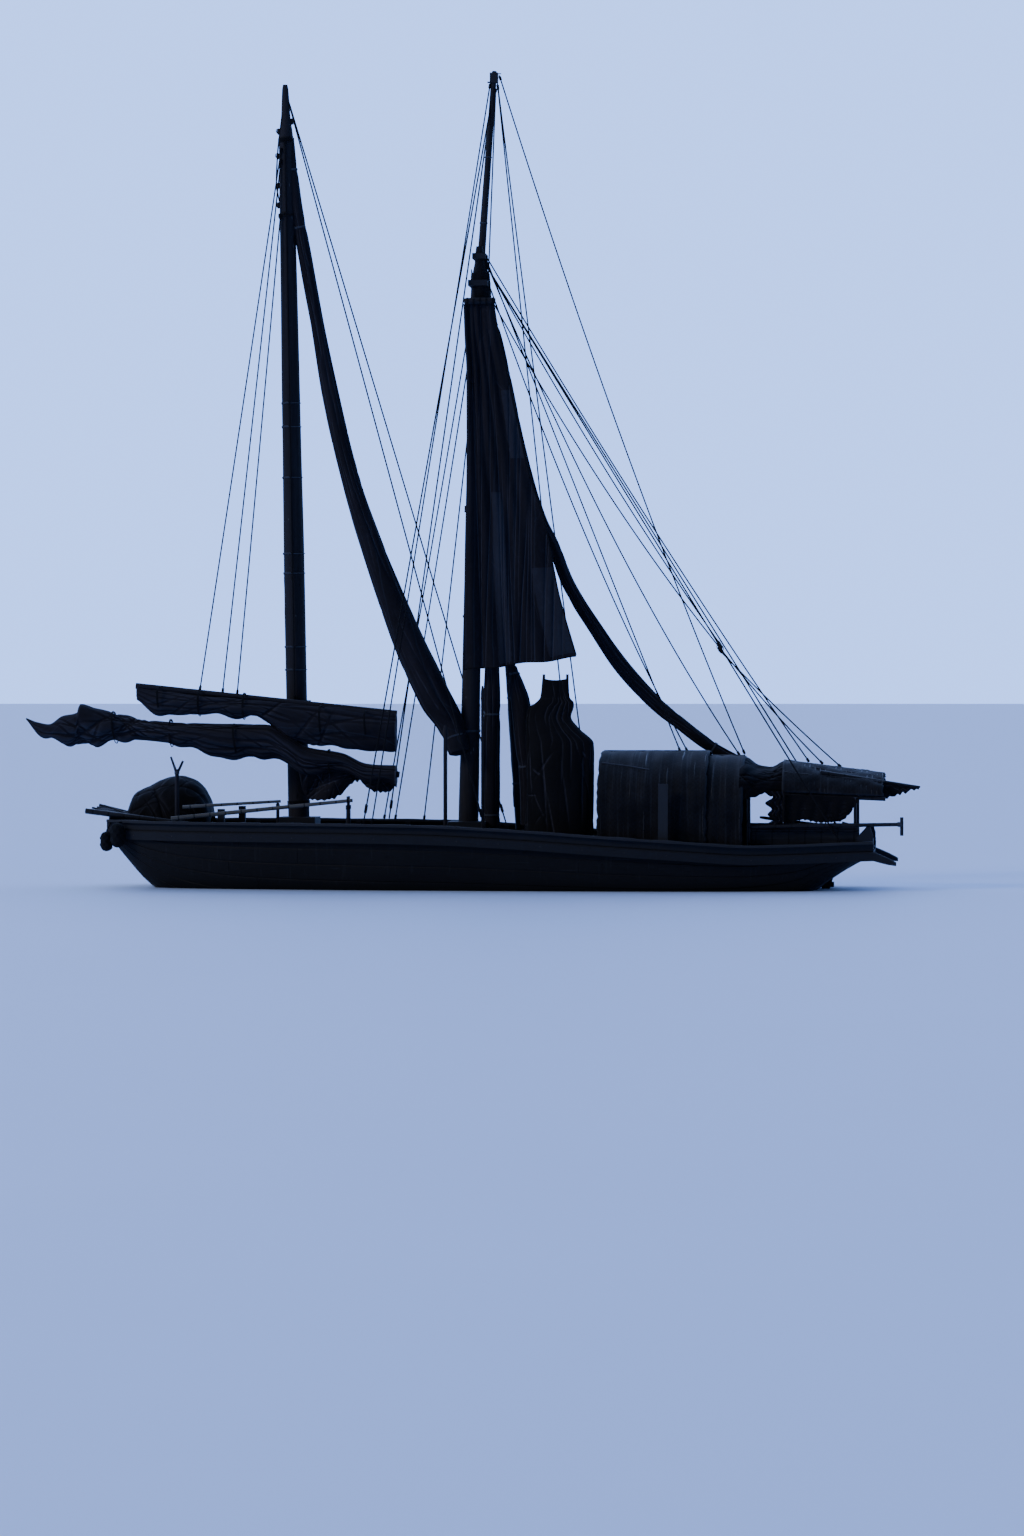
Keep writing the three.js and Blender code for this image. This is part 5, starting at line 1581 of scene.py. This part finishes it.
# Awning; columns: x, half width, eave height, ridge height
AWNING = np.array([
    [3.040, 0.868, 1.172, 1.582], [3.0956, 0.872, 1.175, 1.604], [3.230, 0.810, 1.170, 1.525],
    [3.400, 0.745, 1.165, 1.502], [3.540, 0.694, 1.168, 1.556], [3.600, 0.680, 1.166, 1.536]])
# Tarpaulin over the foredeck's heap; columns: x, half width, top height
HEAP = np.array([
    [-4.505, 0.230, 0.930], [-4.430, 0.330, 1.120], [-4.250, 0.400, 1.225], [-4.000, 0.425, 1.330],
    [-3.880, 0.430, 1.352], [-3.700, 0.415, 1.310], [-3.570, 0.370, 1.210], [-3.490, 0.300, 1.060],
    [-3.455, 0.200, 0.880]])
# Slung canvas; columns: z, x of the fore and the aft edge, y of the middle, half thickness
COVER = np.array([
    [2.560, 0.642, 0.965, -0.417, 0.015], [2.310, 0.618, 0.985, -0.440, 0.030],
    [2.245, 0.560, 1.034, -0.455, 0.045], [2.190, 0.480, 1.030, -0.465, 0.060],
    [2.080, 0.452, 1.000, -0.480, 0.075], [1.940, 0.448, 1.100, -0.520, 0.110],
    [1.760, 0.450, 1.280, -0.560, 0.150], [1.600, 0.452, 1.290, -0.590, 0.170],
    [1.200, 0.455, 1.290, -0.620, 0.185], [0.660, 0.450, 1.290, -0.648, 0.198]])


class JUNK_OT_covers(JunkOperator, bpy.types.Operator):
    """Makes the curtain, the awning, the heap's tarpaulin and the canvas slung between two posts"""
    bl_idname = "junk.covers"
    bl_label = "Curtain, awning, tarpaulin and canvas"

    def build(self):
        self.curtain()
        self.awning()
        self.heap()
        self.slung_canvas()

    def curtain(self):
        """Cloth that hangs from the canopy's port eave and follows its slight taper."""
        s = np.linspace(0, 1, 110)[None]
        t = np.linspace(0, 1, 50)[:, None]
        x = CURTAIN_HALF * (2 * s - 1)
        top = CURTAIN_TOP - CURTAIN_FALL * s
        low = follow(CURTAIN_HEM, x[0])[:, 0] + 0.008 * ripple(s * 60, 0, 173)
        (fore_x, fore_half), (aft_x, aft_half) = CANOPY[:, :2]
        face = fore_half - (fore_half - aft_half) / (aft_x - fore_x) * (CURTAIN_X + x - fore_x)
        folds = 0.007 * (1 + np.sin(s * 38 + 2 * t))
        folds = folds + creases(s * 0.94, t * 0.33, 0.4, 175, 30, 0.10, 0.006)
        y = -face - 0.004 - 0.006 * t - folds * np.minimum(1, 3 * t) * 0.8
        cloth = Shape().sheet(CURTAIN_X + x, y, top + (low - top) * t)
        done = cloth.piece("canopy_curtain_cloth", "canvas", ["canvas"], ["canopy_curtain"], angle=80)

    def awning(self):
        """Cloth that carries the roof on from the shelter to the canopy, slack and torn along its eaves."""
        u = over(AWNING, 46)[:, None]
        half, eave, ridge = upright(AWNING, u[:, 0])
        angle = np.linspace(0, math.pi, 150)[None]
        run = angle * 0.62
        sink = creases(u, run, 4.0, 177, 90, 0.20, 0.022, 0.010, 0.6)
        sink = sink + 0.006 * np.abs(ripple(u * 9, run * 5, 179))
        slack = 0.020 * np.sin(math.pi * (u - AWNING[0, 0]) / (AWNING[-1, 0] - AWNING[0, 0]))
        inward = 0.006 + sink + slack
        eaves = np.maximum(bump_at(angle, 0.0, 0.16), bump_at(angle, math.pi, 0.16))
        torn = 0.045 * (1 + ripple(u * 14, 0 * u, 183, 6)) * eaves
        z = eave + 0.010 + (ridge - eave - 0.010 - inward) * np.sin(angle) - torn
        cloth = Shape().sheet(u, (half - inward) * np.cos(angle), z)
        # The awning takes the shaded copy of the tarpaulin: painted shade
        done = cloth.piece("awning_cloth", "canvas", ["shaded_canvas"], ["awning"], angle=80)

    def heap(self):
        """Tarpaulin drawn over the gear on the foredeck, folded most along its sides."""
        u = over(HEAP, 170)[:, None]
        half, top = upright(HEAP, u[:, 0])
        angle = np.linspace(-0.02, math.pi + 0.02, 180)[None]
        crown = np.maximum(0.0, np.sin(angle))
        folds = creases(u, angle * 0.42, 2.0, 185, 30, 0.30, 0.034, 0.030, 0.5, 0.3)
        folds = folds + creases(u, angle * 0.42, 2.0, 187, 60, 0.12, 0.018, 0.014, 0.9)
        folds = folds + 0.008 * np.abs(ripple(u * 9, angle * 4, 181))
        low = rail_line(u[:, 0])[0][:, None] - DECK_DROP
        room = 0.25 * (top - low)
        folds = room * np.tanh(folds / room) * (1 - 0.65 * crown ** 6)
        z = low + (top - low - folds) * crown ** 0.85 + 0.004
        cloth = Shape().sheet(u, (half - folds) * np.cos(angle), z)
        done = cloth.piece("foredeck_tarpaulin", "canvas", ["canvas"], ["foredeck_heap"], angle=75)

    def slung_canvas(self):
        """Canvas over two posts: it hangs from the bar between them and is drawn out over the gear below."""
        z = over(COVER, 190)[:, None]
        fore, aft, middle, half = upright(COVER, z[:, 0])
        angle = full_turn(170)[None]
        down = COVER[0, 0] - z
        sink = creases(down, angle * 0.36, 2.26, 191, 46, 0.45, 0.030, 0.024, 0.14)
        sink = sink + creases(down, angle * 0.36, 2.26, 193, 40, 0.14, 0.020, 0.014, 0.7)
        room = 0.55 * half
        inward = room * np.tanh(sink / room)
        x = (fore + aft) / 2 + ((aft - fore) / 2 - inward) * np.cos(angle)
        y = middle + (half - inward) * np.sin(angle)
        dip = 0.040 * np.abs(np.sin(angle)) * bump_at(down, 0.0, 0.10)
        hem = 0.03 * ripple(angle * 3, 0 * angle, 197) * bump_at(down, down.max(), 0.25)
        cloth = Shape().loft(grid(x, y, z - dip + hem), ends=False)
        done = cloth.piece("slung_canvas", "canvas", ["canvas"], ["canvas_cover"], angle=80)


# Light poles and spars: name, start, end, radius at start and end, the node that each replaces
BOW_POLE = ("bow_pole", (-4.950, -0.480, 0.926), (-3.480, -0.520, 0.748), 0.034, 0.030, "bow_spar")
LEANING_POLE = ("leaning_pole", (0.3074, 0.3223, 0.700), (0.050, 0.158, 4.900), 0.0660, 0.0575,
                "leaning_spar")
# Share of the leaning pole where it is lashed to the main mast
LASHED_AT = 0.93
WRAP_SPAN = (0.06, 0.97)


class JUNK_OT_poles(JunkOperator, bpy.types.Operator):
    """Makes the bow pole, and the leaning pole with the cloth furled round it and gathered beside it"""
    bl_idname = "junk.poles"
    bl_label = "Poles"

    def build(self):
        for name, start, end, first, last, node in (BOW_POLE, LEANING_POLE):
            radii = np.linspace(first, last, 40) * (1 - 0.02 * (np.sin(np.linspace(0, 60, 40)) > 0.8))
            pole = Shape().tube(straight(start, end, 40), radii, 14)
            pole.piece(name, "pole_wood", ["pole"], [node])
        start, end = (np.array(point) for point in LEANING_POLE[1:3])
        radii = 0.076 - 0.012 * np.linspace(*WRAP_SPAN, 150)
        wrap = furled(straight(start, end, 150, *WRAP_SPAN), radii, 211, 0.016, (0.08, 0.35, 0.66, 0.95))
        done = wrap.piece("leaning_pole_wrap", "sail_cloth", ["patch", "twine"], angle=55)
        foot = furled(*roll_line(STRIP, 90), 213, 0.026, (0.05, 0.62))
        done = foot.piece("hanging_strip", "sail_cloth", ["cloth", "twine"], angle=55)
        self.lashing(start, end)

    def lashing(self, start, end):
        """Two ropes from the leaning pole's head to the mast, with turns round both and between them."""
        rope = Shape()
        grip = start + (end - start) * LASHED_AT
        mast_side = along(MAIN_MAST, grip[2])
        for rise in (0, 0.03):
            rope.bar(grip + [0, 0, rise], mast_side + [0, 0, rise], 0.011, sides=8, steps=12)
        rope.coil((grip + mast_side) / 2, grip - mast_side, 0.020, 7, 0.007)
        rope.coil(mast_side, (0.02, 0, 1), girth(MAIN_MAST, grip[2]) + 0.008, 4, 0.010)
        rope.coil(grip, end - start, 0.074, 4, 0.010)
        rope.piece("leaning_pole_lashing", "rope", ["rope"])


# Poles laid on deck: start, end, radius
DECK_POLES = (
    ((-3.820, -0.865, 0.846), (-1.590, -0.985, 1.075), 0.026),
    ((-3.690, -0.800, 0.985), (-2.480, -0.880, 1.060), 0.021),
)
# x, y and top of the forked rest under them
DECK_REST = (-1.640, -0.985, 1.020)
# Uprights: place on deck, foot, head, radius
UPRIGHTS = (
    ((-0.480, -0.880), 0.700, 1.975, 0.024),
    ((-0.060, -0.620), 0.690, 2.450, 0.018),
    ((-2.520, -0.840), 0.700, 1.040, 0.020),
)
# Fenders: x, y, z of the middle, half height, radius
FENDERS = ((-4.500, -0.760, 0.640, 0.150, 0.085), (-4.660, -0.640, 0.560, 0.120, 0.075))
# Sticks on the bow beam: their number, the first one's y, the gap between them and the beam's top
BOW_STICKS = 9
STICKS_START = -0.40
STICKS_GAP = 0.10
BEAM_TOP = 0.860
# Posts of the slung canvas: places, feet and heads, and the bar between them
COVER_POSTS = (0.660, 0.945)
COVER_Y = -0.385
COVER_HEIGHTS = (0.64, 2.59)
COVER_BAR = 1.215
# Crutch: place, foot, top, height of the fork, and each arm's reach, end height and end radius
CRUTCH = (-3.790, -0.640)
CRUTCH_FOOT = 0.71
CRUTCH_TOP = 1.44
FORK_HEIGHT = 1.38
FORK_ARMS = ((-0.075, 1.59, 0.012), (0.075, 1.54, 0.013))
# Pole with a cross handle
HANDLED_POLE = ((3.180, -0.772, 0.764), (4.980, -0.772, 0.800))
HANDLE = ((4.975, -0.772, 0.665), (4.975, -0.772, 0.885))


class JUNK_OT_gear(JunkOperator, bpy.types.Operator):
    """Makes the gear: canvas posts, crutch, handled pole, deck poles on a rest, fenders and bow sticks"""
    bl_idname = "junk.gear"
    bl_label = "Gear"

    def build(self):
        self.carriers()
        self.deck_poles()
        self.bow_gear()

    def carriers(self):
        """The canvas's posts, the boom's forked crutch, and the pole with a cross handle."""
        posts = Shape()
        for x in COVER_POSTS:
            posts.bar(*((x, COVER_Y, z) for z in COVER_HEIGHTS), 0.0178, 0.0165, steps=20)
        posts.bar(*((x, COVER_Y, COVER_BAR) for x in COVER_POSTS), 0.011, steps=6)
        posts.piece("cover_post_poles", "pole_wood", ["pole"], ["cover_posts"])
        x, y = CRUTCH
        crutch = Shape().bar((x, y, CRUTCH_FOOT), (x, y, CRUTCH_TOP), 0.028, 0.024, steps=10)
        for ahead, height, thin in FORK_ARMS:
            crutch.bar((x, y, FORK_HEIGHT), (x + ahead, y, height), 0.018, thin, steps=6)
        crutch.coil((x, y, FORK_HEIGHT + 0.02), (0, 0, 1), 0.028, 4, 0.005, 1)
        crutch.piece("crutch_pole", "pole_wood", ["spar_z", "twine"], ["boom_crutch"])
        handled = Shape().bar(*HANDLED_POLE, 0.0248, 0.022, steps=30)
        handled.bar(*HANDLE, 0.0205, steps=8)
        handled.coil((4.95, HANDLE[0][1], 0.799), (1, 0, 0), 0.026, 5, 0.005, 1)
        handled.piece("handled_pole", "pole_wood", ["pole", "twine"], ["t_handled_pole"])

    def deck_poles(self):
        """Two bare poles laid from the fore rail to a forked rest, and three uprights."""
        laid = Shape()
        for start, end, radius in DECK_POLES:
            laid.bar(start, end, radius, radius * 0.8, steps=40, sides=14)
        laid.piece("deck_poles", "pole_wood", ["pale_pole"])
        x, y, top = DECK_REST
        rest = Shape().bar((x, y, 0.70), (x, y, top), 0.030, 0.026, steps=10)
        for side in (-1, 1):
            rest.bar((x, y, top - 0.04), (x, y + side * 0.075, top + 0.10), 0.017, 0.012, steps=6)
        rest.coil((x, y, top - 0.03), (0, 0, 1), 0.029, 4, 0.006, 1)
        for (x, y), low, high, radius in UPRIGHTS:
            radii = np.full(24, radius)
            radii[-3:] = radius * np.array([1.25, 1.15, 0.6])
            rest.tube(grid(x, y, np.linspace(low, high, 24)), radii, 14)
        rest.piece("deck_posts", "pole_wood", ["spar_z", "rope"])

    def bow_gear(self):
        """Stuffed rope fenders hung over the bow's port corner and sticks laid across the bow beam."""
        fenders = Shape()
        for x, y, z, tall, radius in FENDERS:
            share = np.linspace(-1, 1, 26)[:, None]
            angle = full_turn(28)
            net = 1 + 0.05 * np.sin(angle * 7 + share * 9) + 0.05 * np.sin(angle * 7 - share * 9)
            bulge = radius * np.sqrt(np.maximum(0.02, 1 - share ** 4))
            fenders.tube(grid(x, y, z + tall * share[:, 0]), bulge * net, 28)
            fenders.bar((x, y, z + tall), (x + 0.04, y * 0.86, 0.80), 0.008, sides=8, steps=6)
        fenders.piece("bow_fenders", "rope", ["rope"])
        sticks = Shape()
        draw = random.Random(221)
        for k in range(BOW_STICKS):
            y = STICKS_START + STICKS_GAP * k
            rise = draw.uniform(0.02, 0.11)
            radius = draw.uniform(0.012, 0.022)
            tip_x = -4.66 - draw.uniform(0.10, 0.30)
            tip_y = y + draw.uniform(-0.08, 0.08)
            sticks.bar((tip_x, tip_y, BEAM_TOP + 0.002 + radius + rise), (-4.51, y, BEAM_TOP + radius),
                       radius, radius * 0.8, steps=8)
        sticks.piece("bow_sticks", "pole_wood", ["pole"])


# Stays: name, head, foot
STAYS = (
    ("main_forestay", (-0.015, 0.155, 9.700), (-1.450, 1.175, 0.700)),
    ("main_backstay", (-0.166, 0.0, 7.700), (4.300, 0.855, 0.500)),
    ("fore_backstay", (-2.556, 0.0, 9.740), (0.060, 1.200, 0.650)),
)
# Running rigging, made fast at both ends: name, start, end, sag at the middle, body
LINES = (
    ("fore_lift_outer", (-2.590, -0.085, 9.02), (-3.550, -0.400, 2.400), 0.02, FORESAIL),
    ("fore_lift_middle", (-2.595, -0.085, 8.88), (-3.270, -0.400, 2.372), 0.02, FORESAIL),
    ("fore_lift_inner", (-2.5995, -0.102, 8.20), (-3.090, -0.400, 2.352), 0.02, FORESAIL),
    ("fore_halyard", (-2.5443, -0.102, 9.10), (-2.4195, -0.156, 2.284), 0.0, HULL),
    ("main_fore_line_1", (-0.290, 0.070, 6.90), (-1.500, 1.180, 0.798), 0.04, HULL),
    ("main_fore_line_2", (-0.280, 0.075, 6.60), (-1.360, 1.185, 0.796), 0.03, HULL),
    ("main_fore_line_3", (-0.265, 0.080, 6.00), (-1.000, 1.210, 0.792), 0.03, HULL),
    ("topmast_forestay", (-0.050, 0.140, 9.80), (-1.330, -1.185, 0.796), 0.02, HULL),
    ("topmast_halyard", (0.020, 0.120, 9.72), (-0.066, 0.060, 7.380), 0.0, HULL),
    ("topmast_shroud_1", (0.037, 0.170, 9.80), (1.110, 1.205, 0.692), 0.03, HULL),
    ("topmast_shroud_2", (0.040, 0.150, 9.78), (0.900, 1.215, 0.706), 0.05, HULL),
    ("topmast_backstay", (0.060, 0.155, 9.90), (3.070, 0.0, 1.622), 0.30, HULL),
    ("canopy_backstay", (-0.110, 0.030, 7.72), (3.848, 0.0, 1.530), 0.12, HULL),
    ("block_backstay", (-0.110, 0.060, 7.62), (2.768, 0.020, 2.955), 0.14, HULL),
    ("block_tail", (2.768, 0.020, 2.875), (4.220, 0.0, 1.482), 0.03, HULL),
    ("canopy_line", (-0.105, 0.090, 7.30), (4.012, 0.050, 1.508), 0.42, HULL),
    ("shelter_line_1", (-0.115, 0.040, 7.72), (2.270, 0.250, 1.650), 0.02, HULL),
    ("shelter_line_2", (-0.105, -0.020, 7.66), (3.000, 0.100, 1.612), 0.35, HULL),
    ("shelter_line_3", (-0.100, 0.0, 7.48), (2.360, 0.200, 1.656), 0.30, HULL),
)
LINE_BLOCK = (2.768, 0.020, 2.915)


class JUNK_OT_rigging(JunkOperator, bpy.types.Operator):
    """Rigs the stays and the running lines, made fast at both ends"""
    bl_idname = "junk.rigging"
    bl_label = "Rigging"

    def build(self):
        stay = sizes().stay
        for name, head, (x, y, z) in STAYS:
            for side_name, side in SIDES:
                start, end = np.array(head), np.array([x, side * y, z])
                end = start + (end - start) * ((start[2] - rail_line(x)[0]) / (start[2] - end[2]))
                line = Shape().bar(start, end, stay, sides=8, steps=60)
                line.coil(start, end - start, stay * 2, 6, 0.004)
                line.coil(end + (start - end) * 0.02, end - start, stay * 1.7, 10, 0.005)
                line.piece(f"{name}_rope_{side_name}", "rope", ["rope"], [f"{name}_{side_name}"])
        for name, start, end, sag, body in LINES:
            path = straight(start, end, 50)
            share = np.linspace(0, 1, 50)
            path[:, 2] -= 4 * sag * share * (1 - share)
            line = Shape().tube(path, sizes().line, 6)
            for i, j in ((0, 2), (-1, -3)):
                line.coil(path[i] * 0.9 + path[j] * 0.1, path[j] - path[i], sizes().line * 1.6, 6, 0.004)
            line.piece(name, "rope", ["rope"], body=body)
        block = Shape()
        pulley(block, LINE_BLOCK, 0.05)
        block.piece("backstay_block", "tarred_wood", ["tar_z", "rope"])


OPERATORS = (JUNK_OT_stage, JUNK_OT_hull, JUNK_OT_deck, JUNK_OT_rails, JUNK_OT_fittings, JUNK_OT_masts,
             JUNK_OT_rudder, JUNK_OT_rolls, JUNK_OT_foresail, JUNK_OT_main_sail, JUNK_OT_shelter,
             JUNK_OT_canopy, JUNK_OT_poles, JUNK_OT_gear, JUNK_OT_covers, JUNK_OT_rigging)


class JUNK_PT_panel(bpy.types.Panel):
    """Lists the junk's settings and pieces in the sidebar"""
    bl_idname = "JUNK_PT_panel"
    bl_label = "Chinese junk"
    bl_space_type = "VIEW_3D"
    bl_region_type = "UI"
    bl_category = "Junk"

    def draw(self, context):
        for group in (context.scene.junk_sizes, context.scene.junk_colours):
            box = self.layout.box()
            for name in group.__annotations__:
                box.prop(group, name)
        for operator in OPERATORS:
            self.layout.operator(operator.bl_idname)


CLASSES = (JunkSizes, JunkColours, *OPERATORS, JUNK_PT_panel)


def register():
    for item in CLASSES:
        bpy.utils.register_class(item)
    bpy.types.Scene.junk_sizes = bpy.props.PointerProperty(type=JunkSizes)
    bpy.types.Scene.junk_colours = bpy.props.PointerProperty(type=JunkColours)


def unregister():
    del bpy.types.Scene.junk_colours
    del bpy.types.Scene.junk_sizes
    for item in reversed(CLASSES):
        bpy.utils.unregister_class(item)


def main():
    register()
    for operator in OPERATORS:
        group, name = operator.bl_idname.split(".")
        getattr(getattr(bpy.ops, group), name)()
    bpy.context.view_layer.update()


if __name__ == "__main__":
    main()
